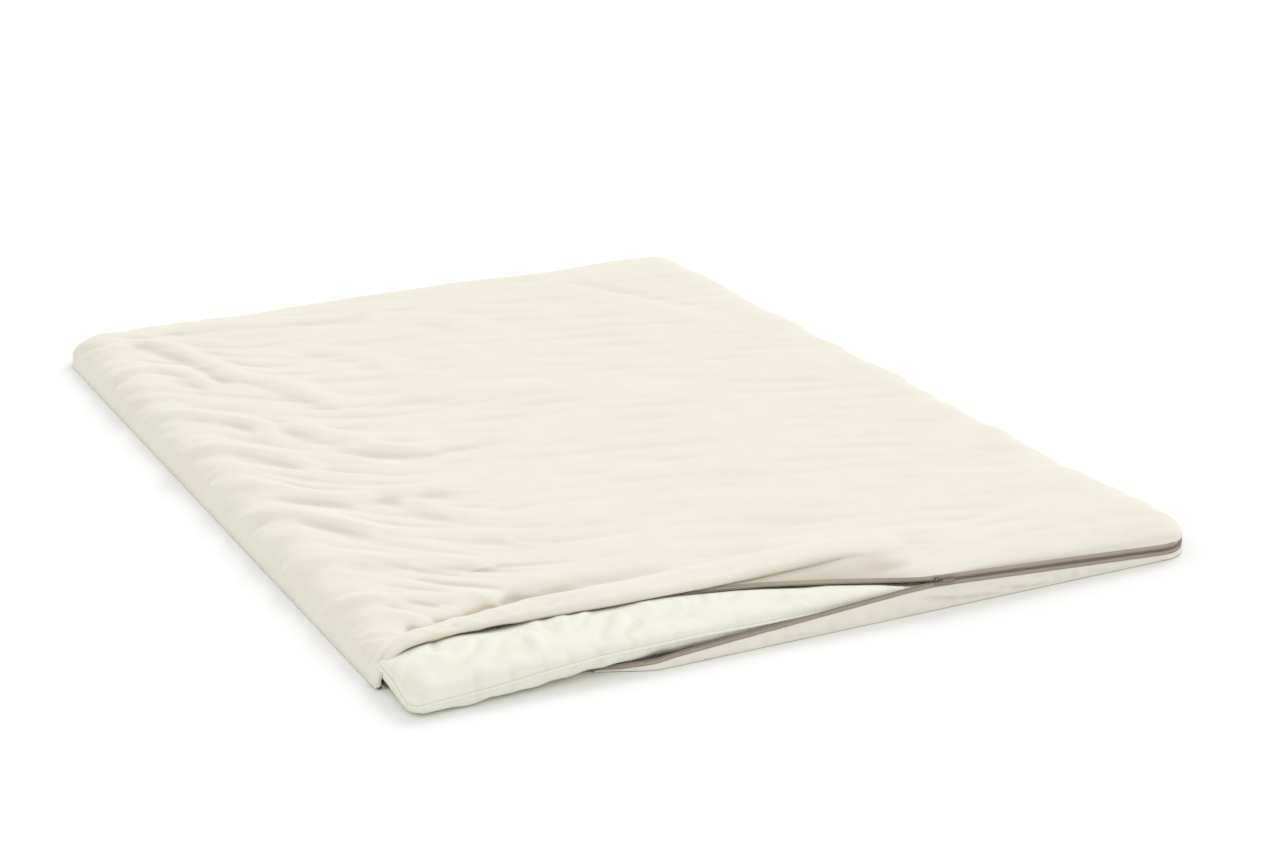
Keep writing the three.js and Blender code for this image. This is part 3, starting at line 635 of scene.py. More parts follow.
# ---- the zipped wall: lower band, tapes and coils ----------------------------------------------
def wall_path(start, spacing):
    """Places along the zipped wall from start, round the right corner to the zip's end."""
    path = []
    floor_left = np.array([BAND_LEFT, FRONT + PULL_BACK])
    meet = np.array([BAND_LEFT + 0.10, FRONT])
    x = start
    while x < HALF_W - CORNER:
        y = FRONT
        if x < meet[0]:
            y = FRONT + (floor_left[1] - FRONT) * smooth((meet[0] - x) / (meet[0] - floor_left[0]))
        path.append((x, y, 0.0, -1.0))
        x += spacing
    steps = int(CORNER * math.pi / 2 / spacing)
    for k in range(steps + 1):
        angle = -math.pi / 2 + (k / steps) * math.pi / 2
        nx, ny = math.cos(angle), math.sin(angle)
        path.append((HALF_W - CORNER + CORNER * nx, FRONT + CORNER + CORNER * ny, nx, ny))
    y = FRONT + CORNER + spacing
    while y < ZIP_END:
        path.append((HALF_W, y, 1.0, 0.0))
        y += spacing
    return np.array(path)


OPEN_EDGE = np.array([
    (-0.385, 4), (-0.33, 14), (-0.265, 22), (-0.16, 28.5), (-0.05, 35), (0.06, 41.5), (0.13, 45.5)])


def lower_edge(x):
    """Height of the lower zip half's free edge."""
    xs = np.append(OPEN_EDGE[:, 0], SLIDER_X)
    zs = np.append(OPEN_EDGE[:, 1] * MM, SLIDER_Z - 0.6 * MM)
    return np.where(x < SLIDER_X, np.interp(x, xs, zs), chain_z(x) - 0.6 * MM)


def make_band():
    path = wall_path(BAND_LEFT + 4 * MM, 4.5 * MM)
    x = path[:, 0]
    edge = np.maximum(lower_edge(x) - CLOTH_EDGE - 0.6 * MM, 3 * MM)
    rows = 15
    heights = np.linspace(0, 1, rows)
    depth, height = [], []
    for share in heights:
        bulge = 1.6 * MM * math.sin(math.pi * share)
        depth.append(np.full_like(x, -bulge))
        height.append(0.6 * MM + share * (edge - 0.6 * MM))
    for turn_in, drop in ((0.9, 0.5), (2.1, 0.2), (2.3, -1.8), (2.3, -4.5)):
        depth.append(np.full_like(x, turn_in * MM))
        height.append(edge + drop * MM)
    depth, height = np.array(depth), np.maximum(np.array(height), 0.5 * MM)
    run = np.concatenate([[0], np.cumsum(np.hypot(np.diff(path[:, 0]), np.diff(path[:, 1])))])
    u = np.repeat(run[None, :], len(depth), axis=0)
    cloth = Cloth(u, height)
    rng = random.Random(23)
    place = 0.05
    while place < run[-1]:
        tall = rng.uniform(0.3, 0.9)
        lean = rng.gauss(0, 9) * MM
        cloth.stroke([(place, 0.0), (place + lean, 45 * MM * tall)], rng.uniform(0.4, 1.5) * MM,
                     rng.uniform(7, 12) * MM, lean=rng.uniform(-0.5, 0.5), fade=(0.2, 0.5))
        place += rng.uniform(24, 60) * MM
    for x0, z0, x1, z1, deep in ((0.15, 0.036, 0.33, 0.008, 3.2), (0.285, 0.026, 0.43, 0.006, 3.0),
                                   (0.47, 0.016, 0.58, 0.005, 1.8), (-0.12, 0.024, 0.0, 0.010, 1.4)):
        start, end = x0 - BAND_LEFT, x1 - BAND_LEFT
        cloth.stroke([(start, z0), (0.6 * start + 0.4 * end, 0.45 * z0 + 0.55 * z1), (end, z1)],
                     deep * MM, 5 * MM, lean=0.6, fade=(0.3, 0.4))
    cloth.lift += 0.7 * MM * noise_sheet(u / 0.12, height / 0.08, 31)
    hold = smooth(height / (8 * MM)) * (1 - smooth((height - edge[None, :] + 5 * MM) / (4 * MM)))
    depth = depth - cloth.lift * hold
    grid = np.stack([
        path[None, :, 0] - path[None, :, 2] * depth,
        path[None, :, 1] - path[None, :, 3] * depth,
        height], axis=2)
    band = grid_object("cover_band", grid, np.stack([u, height], axis=2))
    # Painted shade: the band's colour darkens beside each crease, for the shade in its folds.
    set_painted_shade(band, hold * np.clip((soften(cloth.lift, 6) - cloth.lift) / (1.0 * MM), 0, 1))
    shade_smooth(band)
    return band


def ribbon(name, lower, upper, outward, thickness):
    """A thin tape between two edge lines, as a closed strip."""
    lower, upper, outward = (np.asarray(a, float) for a in (lower, upper, outward))
    back = outward * thickness
    ring = np.stack([lower, 0.5 * (lower + upper), upper, upper - back, 0.5 * (lower + upper) - back,
                     lower - back], axis=1)
    count, sides, _ = ring.shape
    faces = swept_faces(count, sides)
    run = arc_length(lower)
    wide = np.linalg.norm(upper - lower, axis=1)
    across = np.stack([wide * 0, 0.5 * wide, wide, wide, 0.5 * wide, wide * 0], axis=1)
    uv = np.stack([np.repeat(run[:, None], sides, axis=1), across], axis=2).reshape(-1, 2)
    obj = new_object(name, ring.reshape(-1, 3), faces, uv)
    facing_out(obj)
    shade_smooth(obj)
    only(obj)
    bpy.ops.object.shade_smooth_by_angle(angle=math.radians(50))
    return obj


def facing_out(obj):
    mesh = bmesh.new()
    mesh.from_mesh(obj.data)
    bmesh.ops.recalc_face_normals(mesh, faces=mesh.faces)
    mesh.to_mesh(obj.data)
    mesh.free()


COIL_PITCH = 1.6 * MM
TAPE_THICK = 0.8 * MM
TAPE_STEP = 3 * MM               # spacing of the places along a tape
TAPE_FALL = 11.5 * MM           # the lower tape reaches this far under its edge
TAPE_RISE = 8.8 * MM            # and the upper tape this far over its own
WIRE = 0.36 * MM


def coil(name, edge, inward, outward, phase, width=1.9 * MM, depth=1.25 * MM):
    """A moulded coil of loops along an edge line, from the edge inward over the tape."""
    edge, inward, outward = (np.asarray(a, float) for a in (edge, inward, outward))
    run = arc_length(edge)
    samples = 7
    turns = int(run[-1] / COIL_PITCH)
    place = (np.arange(turns * samples) / samples + phase) * COIL_PITCH
    place = place[place < run[-1]]
    angle = 2 * math.pi * (place / COIL_PITCH)
    pick = [np.stack([np.interp(place, run, a[:, k]) for k in range(3)], axis=1)
            for a in (edge, inward, outward)]
    loop = 0.5 - 0.5 * np.cos(angle)
    rise = 0.5 * np.sin(angle)
    centre = pick[0] + pick[1] * (loop * width)[:, None] + pick[2] * ((rise + 0.5) * depth)[:, None]
    along = np.gradient(centre, axis=0)
    along /= np.linalg.norm(along, axis=1, keepdims=True)
    side = np.cross(along, pick[2])
    side /= np.maximum(np.linalg.norm(side, axis=1, keepdims=True), 1e-9)
    up = np.cross(side, along)
    sides = 5
    turn = np.linspace(0, 2 * math.pi, sides, endpoint=False)
    ring = centre[:, None] + WIRE * (np.cos(turn)[None, :, None] * side[:, None]
                                     + np.sin(turn)[None, :, None] * up[:, None])
    obj = new_object(name, ring.reshape(-1, 3), swept_faces(len(centre), sides))
    facing_out(obj)
    shade_smooth(obj)
    return obj


def wall_points(path, depth, height):
    return np.stack([path[:, 0] - path[:, 2] * depth, path[:, 1] - path[:, 3] * depth, height], axis=1)


def straight(vector, count):
    return np.repeat(np.array([vector], float), count, axis=0)


def make_lower_zip():
    path = wall_path(BAND_LEFT, TAPE_STEP)
    edge = lower_edge(path[:, 0])
    foot = np.maximum(edge - TAPE_FALL, 0.5 * MM)
    outward = np.stack([path[:, 2], path[:, 3], path[:, 0] * 0], axis=1)
    tape = ribbon("zip_tape_lower", wall_points(path, TAPE_IN, foot), wall_points(path, TAPE_IN, edge),
                  outward, TAPE_THICK)
    count = len(path)
    teeth = coil("zip_coil_lower", wall_points(path, TAPE_IN - WIRE, edge - 0.4 * MM),
                 straight((0, 0, -1), count), outward, 0.0)
    return tape, teeth


def make_upper_zip():
    path = wall_path(SLIDER_X, TAPE_STEP)
    edge = chain_z(path[:, 0]) + 0.6 * MM
    outward = np.stack([path[:, 2], path[:, 3], path[:, 0] * 0], axis=1)
    tape = ribbon("zip_tape_upper", wall_points(path, TAPE_IN, edge),
                  wall_points(path, TAPE_IN, edge + TAPE_RISE), outward, TAPE_THICK)
    teeth = coil("zip_coil_upper", wall_points(path, TAPE_IN - WIRE, edge + 0.4 * MM),
                 straight((0, 0, 1), len(path)), outward, 0.5)
    return tape, teeth


# The open upper half: x, then depth and height in millimetres of its free and sewn edges.
OPEN_UPPER = [
    (SLIDER_X, (2.7, 48.6), (2.7, 57)),
    (0.17, (6, 49.5), (8, 56)),
    (0.15, (17, 47.5), (22, 53.5)),
    (0.11, (46, 43.5), (54, 48.5)),
    (0.04, (79.5, 43), (89, 47.5)),
    (-0.06, (105, 48.3), (114.5, 52.3)),
    (-0.15, (122, 51.3), (131, 54.5)),
    (-0.24, (139, 51.7), (147, 54.2)),
    (-0.33, (150, 51.5), (159, 54)),
    (-0.52, (158, 51), (167, 53)),
    (-0.60, (152, 50), (161, 52)),
    (-0.645, (142, 42), (151, 44)),
    (-0.664, (134, 28), (144, 30)),
    (-0.673, (129, 10), (139, 10)),
]


def open_upper_lines(low, high, spacing):
    table = np.array([(x, *free, *sewn) for x, free, sewn in OPEN_UPPER])[::-1]
    xs = np.linspace(low, high, int(round((high - low) / spacing)) + 1)
    free_d, free_z, sewn_d, sewn_z = (np.interp(xs, table[:, 0], table[:, k]) for k in range(1, 5))
    free = np.stack([xs, FRONT + free_d * MM, free_z * MM], axis=1)
    sewn = np.stack([xs, FRONT + sewn_d * MM, sewn_z * MM], axis=1)
    for line in (free, sewn):
        kernel = np.ones(7) / 7
        for k in (1, 2):
            padded = np.pad(line[:, k], 3, mode="edge")
            line[:, k] = np.convolve(padded, kernel, mode="valid")
    return free, sewn


def make_open_upper(name, low, high):
    free, sewn = open_upper_lines(low, high, TAPE_STEP)
    along = np.gradient(free, axis=0)
    across = sewn - free
    across /= np.linalg.norm(across, axis=1, keepdims=True)
    outward = np.cross(along, across)
    outward /= np.linalg.norm(outward, axis=1, keepdims=True)
    outward *= np.sign(-outward[:, 1:2] + 1e-6)
    tape = ribbon("zip_tape_" + name, free, sewn, outward, TAPE_THICK)
    teeth = coil("zip_coil_" + name, free, across, outward, 0.3)
    return tape, teeth


def make_floor_tape():
    """The lower half where it lies flat under the pad, to the pulled-back corner."""
    low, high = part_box("zip_lower_tape_floor")
    start = np.array([low.x + 4 * MM, high.y - 9 * MM, 2.6 * MM])
    end = np.array([BAND_LEFT + 3 * MM, FRONT + 36.5 * MM, 3.2 * MM])
    share = np.linspace(0, 1, 60)[:, None]
    line = start * (1 - share) + end * share
    run = (end - start) / np.linalg.norm(end - start)
    across = np.array([-run[1], run[0], 0])
    up = straight((0, 0, 1), 60)
    tape = ribbon("zip_tape_floor", line, line + across * 9 * MM, up, TAPE_THICK)
    teeth = coil("zip_coil_floor", line, straight(across, 60), up, 0.0, depth=0.9 * MM)
    return tape, teeth


# ---- slider, pull tab and stops ----------------------------------------------------------------
def bevelled_copy(node, name, width, segments=3):
    """A CAD node's own shape with its edges rounded off."""
    source = frame["nodes"][node]
    obj = bpy.data.objects.new(name, source.data.copy())
    bpy.context.scene.collection.objects.link(obj)
    only(obj)
    bpy.ops.object.mode_set(mode="EDIT")
    bpy.ops.mesh.select_all(action="SELECT")
    bpy.ops.mesh.remove_doubles(threshold=0.01 * MM)
    bpy.ops.mesh.dissolve_limited(angle_limit=math.radians(2))
    bpy.ops.mesh.normals_make_consistent(inside=False)
    bpy.ops.object.mode_set(mode="OBJECT")
    bevel = obj.modifiers.new("edges", "BEVEL")
    bevel.width = width
    bevel.segments = segments
    bevel.limit_method = "ANGLE"
    bevel.angle_limit = math.radians(30)
    apply_modifiers(obj)
    shade_smooth(obj)
    only(obj)
    bpy.ops.object.shade_smooth_by_angle(angle=math.radians(40))
    return obj


# ---- bottom panel and sewn edge ----------------------------------------------------------------
def make_bottom():
    low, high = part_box("cover_bottom_panel")
    xs = np.linspace(low.x, high.x, 90)
    ys = np.linspace(low.y, high.y, 124)
    grid_x, grid_y = np.meshgrid(xs, ys)
    x, y = grid_x, grid_y
    for sign_x, sign_y in ((1, -1), (1, 1), (-1, 1)):
        x, y = round_corner(x, y, sign_x, sign_y, high.x, high.y, CORNER)
    floor_low, floor_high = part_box("zip_lower_tape_floor")
    slope = (floor_low.y - floor_high.y) / (floor_high.x - floor_low.x)
    line_y = floor_high.y - 4 * MM + slope * (x - floor_low.x)
    front = FRONT + 2 * MM + PULL_BACK * smooth((BAND_LEFT + 0.10 - x) / 0.10)
    y = np.where(y < FRONT + 0.05, np.maximum(y, front), y)
    y = np.where(x < floor_high.x, np.maximum(y, line_y), y)
    z = 0.9 * MM + 0.3 * MM * noise_sheet(x / 0.2, y / 0.2, 5)
    z = np.clip(z, 0.4 * MM, 1.8 * MM)
    bottom = grid_object("cover_bottom", np.stack([x, y, z], axis=2), np.stack([x, y], axis=2))
    thickness = bottom.modifiers.new("cloth", "SOLIDIFY")
    thickness.thickness = 0.8 * MM
    thickness.offset = 0
    apply_modifiers(bottom)
    shade_smooth(bottom)
    return bottom


def make_edge_seam():
    points = []
    inset = 0.4 * MM
    radius = CORNER
    y = ZIP_END
    while y < BACK - radius:
        points.append((HALF_W - inset, y))
        y += 6 * MM
    for quarter in (0, 1):
        centre_x = (HALF_W - radius) * (1 if quarter == 0 else -1)
        for k in range(17):
            angle = (quarter + k / 16) * math.pi / 2
            points.append((centre_x + (radius - inset) * math.cos(angle),
                           BACK - radius + (radius - inset) * math.sin(angle)))
        if quarter == 0:
            x = HALF_W - radius - 6 * MM
            while x > -HALF_W + radius + 3 * MM:
                points.append((x, BACK - inset))
                x -= 6 * MM
    y = BACK - radius - 6 * MM
    while y > FRONT + 0.124:
        points.append((-HALF_W + inset, y))
        y -= 6 * MM
    rng = random.Random(3)
    path = [(x, y, 2.6 * MM + rng.gauss(0, 0.12) * MM) for x, y in points]
    seam = tube("cover_seam", path, 2.1 * MM, sides=8, squash=0.85)
    return seam


# ---- the pad -----------------------------------------------------------------------------------
PAD_SHOULDER = 62 * MM


def pad_axis(low, high, fine_until, fine, coarse):
    inset = PAD_SHOULDER * (1 - np.cos(np.linspace(0, math.pi / 2, 12)[:-1]))
    share = np.sin(np.linspace(0, math.pi / 2, 12)[:-1]) ** 0.62
    flat_low, flat_high = low + PAD_SHOULDER, high - PAD_SHOULDER
    flat = axis_run(flat_low, flat_high, [(fine_until, fine), (flat_high, coarse)])
    place = np.concatenate([low + inset, flat, (high - inset)[::-1]])
    height = np.concatenate([share, np.ones_like(flat), share[::-1]])
    return place, height


def pad_middle(x, y):
    """Height of the piped edge, which sags at the free corner."""
    open_end = smooth((FRONT + 0.10 - y) / 0.08)
    sag = np.interp(x, [-0.68, -0.64, -0.56, -0.47, -0.38, -0.22, -0.10, 0.1, 0.3],
                    [-16, -12, -8, -0.5, 5, 6, 3, 0, 0])
    return 31 * MM + sag * MM * open_end


def pad_wrinkles(cloth, rng):
    """Gathers at the piping, and creases from under the lip toward it."""
    place = pad_low.x + 0.01
    while place < 0.25:
        run = rng.uniform(14, 50) * MM
        cloth.stroke([(place, pad_low.y), (place + rng.gauss(0, 7) * MM, pad_low.y + run)],
                     rng.uniform(0.6, 2.4) * MM, rng.uniform(4.5, 8) * MM,
                     lean=rng.uniform(-0.6, 0.6), fade=(0.0, 0.7))
        place += rng.uniform(9, 26) * MM
    place = pad_low.x + 0.03
    while place < 0.12:
        slant = rng.gauss(-0.035, 0.025)
        low, high = rng.uniform(0.010, 0.06), rng.uniform(0.10, 0.15)
        bend = rng.gauss(0, 8) * MM
        cloth.stroke([(place, pad_low.y + high), (place + 0.5 * slant + bend, pad_low.y + 0.5 * (low + high)),
                      (place + slant, pad_low.y + low)],
                     rng.uniform(1.8, 4.4) * MM, rng.uniform(4.5, 8) * MM,
                     lean=rng.uniform(-0.8, 0.8), fade=(0.1, 0.6))
        place += rng.uniform(22, 58) * MM
    for x0, y0, x1, y1, height, width in (
            (-0.30, 0.115, -0.375, 0.006, 5.0, 8), (-0.285, 0.08, -0.345, 0.03, -3.5, 6),
            (-0.462, 0.120, -0.470, 0.02, 4.4, 8), (-0.52, 0.10, -0.60, 0.02, 3.6, 9),
            (-0.655, 0.055, -0.650, 0.0, 4.0, 7), (-0.63, 0.12, -0.60, 0.06, 3.6, 9)):
        cloth.stroke([(x0, FRONT + y0), (0.5 * (x0 + x1) + 0.006, FRONT + 0.5 * (y0 + y1)), (x1, FRONT + y1)],
                     height * MM, width * MM, 0.5, fade=(0.2, 0.3))


def make_pad():
    xs, side_x = pad_axis(pad_low.x, pad_high.x, 0.26, 4.6 * MM, 22 * MM)
    ys, side_y = pad_axis(pad_low.y, pad_high.y, FRONT + 0.24, 4.2 * MM, 26 * MM)
    x, y = np.meshgrid(xs, ys)
    share = side_y[:, None] * side_x[None, :]
    middle = pad_middle(x, y)
    depth = y - FRONT
    crown = np.interp(depth, [0, 0.03, 0.09, 0.13, 0.17, 0.30], [52, 53, 53.5, 51.5, 45, 48]) * MM
    u, v = x.copy(), y.copy()
    cloth = Cloth(u, v)
    pad_wrinkles(cloth, random.Random(41))
    cloth.lift = soften(1.3 * cloth.lift, 1) + 1.1 * MM * noise_sheet(u / 0.13, v / 0.10, 51)
    edge = np.interp(x, [row[0] for row in END_STATIONS], [row[1][0][0] for row in END_STATIONS]) * MM
    behind = depth - edge
    at_edge = np.interp(x, [-0.675, -0.62, -0.55, -0.20, -0.10, 0.0, 0.15, 0.19],
                        [37, 46, 49, 49, 46, 39, 39, 43])
    ceiling = at_edge + np.interp(behind, [-0.07, -0.02, 0.0, 0.04, 0.10, 0.20], [14, 5, 0, -6, -8, 2])
    ceiling = np.where(x < 0.19, ceiling, 43) * MM
    upper_z = middle + (crown - middle) * share + cloth.lift * smooth(share / 0.5)
    upper_z = np.minimum(upper_z, ceiling)
    free = smooth((-0.385 - x) / 0.03) * smooth((FRONT + 0.127 - 0.32 * (x + HALF_W) - y) / 0.02)
    rest = (3.6 - 2.8 * free) * MM
    belly = np.interp(x, [-0.68, -0.58, -0.50, -0.43, 0.0], [0.22, 0.26, 0.42, 1.15, 1.2])
    belly = 0.6 + (belly - 0.6) * smooth((FRONT + 0.12 - y) / 0.08)
    lower_z = middle - (middle - rest) * share ** belly
    wavy = smooth(share / 0.25) * (1 - smooth((share - 0.6) / 0.3))
    lower_z += wavy * (0.6 * cloth.lift + 1.2 * MM * noise_sheet(u / 0.07, v / 0.2, 53))
    lower_z = np.maximum(lower_z, rest)
    inner = smooth((depth - 0.22) / 0.1)
    tucked = smooth((behind + 12 * MM) / (30 * MM)) * smooth((-0.52 - x) / 0.12)
    x = x + np.maximum(-0.022 * x * inner, 15 * MM * tucked) * (x < 0) - 0.022 * x * inner * (x >= 0)
    y = y - 14 * MM * smooth((y - 0.80) / 0.10)
    for sign_x, sign_y in ((1, -1), (1, 1), (-1, 1), (-1, -1)):
        radius = 24 * MM if sign_y == -1 and sign_x == -1 else 55 * MM
        edge_y = pad_high.y if sign_y > 0 else -pad_low.y
        x, y = round_corner(x, y, sign_x, sign_y, pad_high.x, edge_y, radius)
    upper = np.stack([x, y, upper_z], axis=2)
    lower = np.stack([x, y, lower_z], axis=2)
    # Painted shade: the ticking's colour darkens where its wrinkles dip below their surroundings, for the
    # shade in the creases.
    hollow = np.clip((soften(cloth.lift, 10) - cloth.lift) / (1.3 * MM), 0, 1)
    rows, columns, _ = upper.shape
    faces = grid_faces(rows, columns)
    offset = rows * columns
    border = np.zeros((rows, columns), bool)
    border[0], border[-1], border[:, 0], border[:, -1] = True, True, True, True
    below = np.where(border.ravel(), np.arange(offset), offset + np.arange(offset))
    faces += [tuple(int(below[i]) for i in face[::-1]) for face in faces]
    points = np.concatenate([upper.reshape(-1, 3), lower.reshape(-1, 3)])
    uv = np.concatenate([np.stack([u, v], axis=2).reshape(-1, 2)] * 2)
    pad = new_object("pad", points, faces, uv)
    mesh = bmesh.new()
    mesh.from_mesh(pad.data)
    bmesh.ops.delete(mesh, geom=[v for v in mesh.verts if not v.link_faces], context="VERTS")
    mesh.to_mesh(pad.data)
    mesh.free()
    kept = np.concatenate([np.ones(offset, bool), ~border.ravel()])
    set_painted_shade(pad, np.concatenate([hollow.ravel()] * 2)[kept])
    shade_smooth(pad)
    ring = [upper[0, i] for i in range(columns)]
    ring += [upper[j, -1] for j in range(1, rows)]
    ring += [upper[-1, i] for i in range(columns - 2, -1, -1)]
    ring += [upper[j, 0] for j in range(rows - 2, 0, -1)]
    centre = np.array([0, 0.5 * (pad_low.y + pad_high.y), 0])
    out = []
    for p in ring:
        way = np.array([np.clip((p[0] - centre[0]) / (pad_high.x - 0.03), -1, 1) ** 9,
                        np.clip((p[1] - centre[1]) / (pad_high.y - 0.03), -1, 1) ** 9, 0])
        out.append(p + 1.6 * MM * way / max(np.linalg.norm(way), 1e-9))
    piping = tube("pad_piping", out, 2.2 * MM, sides=10, closed=True)
    return pad, piping


# ---- materials ---------------------------------------------------------------------------------
class Value:
    """A shader socket that adds Math nodes when it is used in an expression."""

    def __init__(self, tree, socket):
        self.tree, self.socket = tree, socket

    def math(self, operation, other=None, swap=False):
        node = self.tree.nodes.new("ShaderNodeMath")
        node.operation = operation
        inputs = [self, other] if not swap else [other, self]
        for index, value in enumerate(inputs):
            if value is None:
                continue
            if isinstance(value, Value):
                self.tree.links.new(value.socket, node.inputs[index])
            else:
                node.inputs[index].default_value = value
        return Value(self.tree, node.outputs[0])

    def __add__(self, other):
        return self.math("ADD", other)

    def __sub__(self, other):
        return self.math("SUBTRACT", other)

    def __mul__(self, other):
        return self.math("MULTIPLY", other)

    def __rsub__(self, other):
        return self.math("SUBTRACT", other, swap=True)

    __radd__ = __add__
    __rmul__ = __mul__

    def sine(self):
        return self.math("SINE")

    def clamp(self):
        return self.math("MAXIMUM", 0.0).math("MINIMUM", 1.0)


class Material:
    """A material and the nodes that feed its shader."""

    def __init__(self, name, color, roughness, metallic=0.0):
        self.material = bpy.data.materials.new(name)
        self.material.use_nodes = True
        self.material.diffuse_color = (*color, 1)
        self.tree = self.material.node_tree
        self.shader = self.tree.nodes["Principled BSDF"]
        self.shader.inputs["Base Color"].default_value = (*color, 1)
        self.shader.inputs["Roughness"].default_value = roughness
        self.shader.inputs["Metallic"].default_value = metallic

    def node(self, kind, settings=None, out=0, **sockets):
        node = self.tree.nodes.new(kind)
        for key, value in (settings or {}).items():
            setattr(node, key, value)
        for key, value in sockets.items():
            socket = node.inputs[key.replace("_", " ")]
            if isinstance(value, Value):
                self.tree.links.new(value.socket, socket)
            else:
                socket.default_value = value
        return Value(self.tree, node.outputs[out])

    def place(self, uv=False):
        return self.node("ShaderNodeTexCoord", out="UV" if uv else "Object")

    def noise(self, place, scale, detail=3.0, roughness=0.55):
        return self.node("ShaderNodeTexNoise", Vector=place, Scale=scale, Detail=detail, Roughness=roughness)

    def scaled(self, place, scale):
        return self.node("ShaderNodeMapping", Vector=place, Scale=scale)

    def split(self, place):
        node = self.tree.nodes.new("ShaderNodeSeparateXYZ")
        self.tree.links.new(place.socket, node.inputs[0])
        return [Value(self.tree, node.outputs[k]) for k in range(3)]

    def mix(self, factor, first, second):
        node = self.tree.nodes.new("ShaderNodeMix")
        node.data_type = "RGBA"
        self.tree.links.new(factor.socket, node.inputs["Factor"])
        for index, value in ((6, first), (7, second)):
            if isinstance(value, Value):
                self.tree.links.new(value.socket, node.inputs[index])
            else:
                node.inputs[index].default_value = (*value, 1)
        return Value(self.tree, node.outputs[2])

    def feed(self, socket, value):
        self.tree.links.new(value.socket, self.shader.inputs[socket])

    def bump(self, height, distance, strength=1.0):
        normal = self.node("ShaderNodeBump", Height=height, Distance=distance, Strength=strength)
        self.feed("Normal", normal)

    def set(self, **sockets):
        for key, value in sockets.items():
            self.shader.inputs[key.replace("_", " ")].default_value = value


def brushed_cloth(name, color, shade, deep):
    """Short brushed pile: soft sheen, faint streaks of nap and a fine fibre grain, and painted shade that
    darkens the colour toward deep in folds and creases.
    """
    material = Material(name, color, 0.9)
    place = material.place()
    nap = material.noise(material.scaled(place, (9.0, 3.5, 9.0)), 2.2, 4.0)
    fibre = material.noise(place, 900.0, 2.0, 0.7)
    clump = material.noise(place, 190.0, 3.0, 0.6)
    u = material.split(material.place(uv=True))[0]
    edge = ((u.math("ABSOLUTE") - 0.645) * 16.0).clamp()
    drawn = material.noise(material.scaled(material.place(uv=True), (10.0, 27.0, 1.0)), 1.0, 2.0, 0.5)
    crinkle = 1.0 - ((drawn - 0.5).math("ABSOLUTE") * 7.0).clamp()
    tone = (nap * 0.9 + clump * 0.35 - 0.22).clamp()
    # Painted shade: the stored shade amount mixes the cloth's colour toward deep, a darker tint for the shade
    # in folds and creases.
    hollow = material.node("ShaderNodeAttribute", {"attribute_name": "hollow"}, out="Fac")
    pile = material.mix(tone, shade, color)
    material.feed("Base Color", material.mix((hollow * 0.62).clamp(), pile, deep))
    material.feed("Roughness", clump * 0.14 + 0.82)
    material.bump(fibre * 0.3 + clump * 0.45 + crinkle * edge * 2.6, 0.6 * MM, 0.7)
    material.set(Sheen_Weight=0.15, Sheen_Roughness=0.45, Sheen_Tint=(1.0, 0.98, 0.94, 1.0),
                 Specular_IOR_Level=0.2)
    return material.material


def woven(name, color, shade, pitch, depth, sheen=0.1, deep=None):
    """A plain weave over the piece's own cloth coordinates."""
    material = Material(name, color, 0.82)
    x, y, _ = material.split(material.place(uv=True))
    wave = 2 * math.pi / pitch
    warp = (x * wave).sine()
    weft = (y * wave).sine()
    weave = warp * weft * 0.5 + 0.5
    drift = material.noise(material.place(), 24.0, 3.0)
    tone = (weave * 0.4 + drift * 0.7).clamp()
    cloth = material.mix(tone, shade, color)
    # Painted shade: where points carry it, the weave's colour mixes toward deep, for the shade in creases.
    if deep:
        hollow = material.node("ShaderNodeAttribute", {"attribute_name": "hollow"}, out="Fac")
        cloth = material.mix((hollow * 0.5).clamp(), cloth, deep)
    material.feed("Base Color", cloth)
    material.feed("Roughness", weave * -0.12 + 0.86)
    material.bump(weave, depth, 0.7)
    material.set(Sheen_Weight=sheen, Specular_IOR_Level=0.25)
    return material.material


def moulded(name, color, shade):
    material = Material(name, color, 0.4)
    drift = material.noise(material.place(), 160.0, 2.0)
    material.feed("Base Color", material.mix(drift, shade, color))
    material.feed("Roughness", drift * 0.2 + 0.3)
    return material.material


def plated(name, color, shade):
    """Aged plating: darker in random patches of patina, fine scratches along it."""
    material = Material(name, color, 0.35, 0.9)
    place = material.place()
    scratch = material.noise(material.scaled(place, (400.0, 2600.0, 2600.0)), 1.0, 3.0)
    patina = material.noise(place, 420.0, 4.0)
    tone = (patina * 1.6 - 0.4).clamp()
    material.feed("Base Color", material.mix(tone, shade, color))
    material.feed("Roughness", scratch * 0.25 + 0.22)
    material.bump(scratch, 0.05 * MM, 0.3)
    return material.material


# The last colour given to the cream and to the ticking is a darker tint that paints shade into folds and
# creases.
CREAM = brushed_cloth("brushed_cream", (0.885, 0.862, 0.765), (0.825, 0.797, 0.685), (0.60, 0.53, 0.42))
TICKING = woven("pad_ticking", (0.90, 0.90, 0.785), (0.855, 0.855, 0.72), 1.1 * MM, 0.12 * MM,
                deep=(0.74, 0.735, 0.575))
TAPE = woven("zip_tape_weave", (0.49, 0.43, 0.335), (0.37, 0.32, 0.24), 1.4 * MM, 0.18 * MM)
COIL = moulded("zip_coil_nylon", (0.43, 0.375, 0.29), (0.31, 0.27, 0.20))
METAL = plated("aged_plating", (0.40, 0.35, 0.28), (0.16, 0.135, 0.10))


LOOKS = {"cover_cloth": CREAM, "ticking": TICKING, "zip_tape": TAPE, "zip_coil": COIL, "zip_metal": METAL}


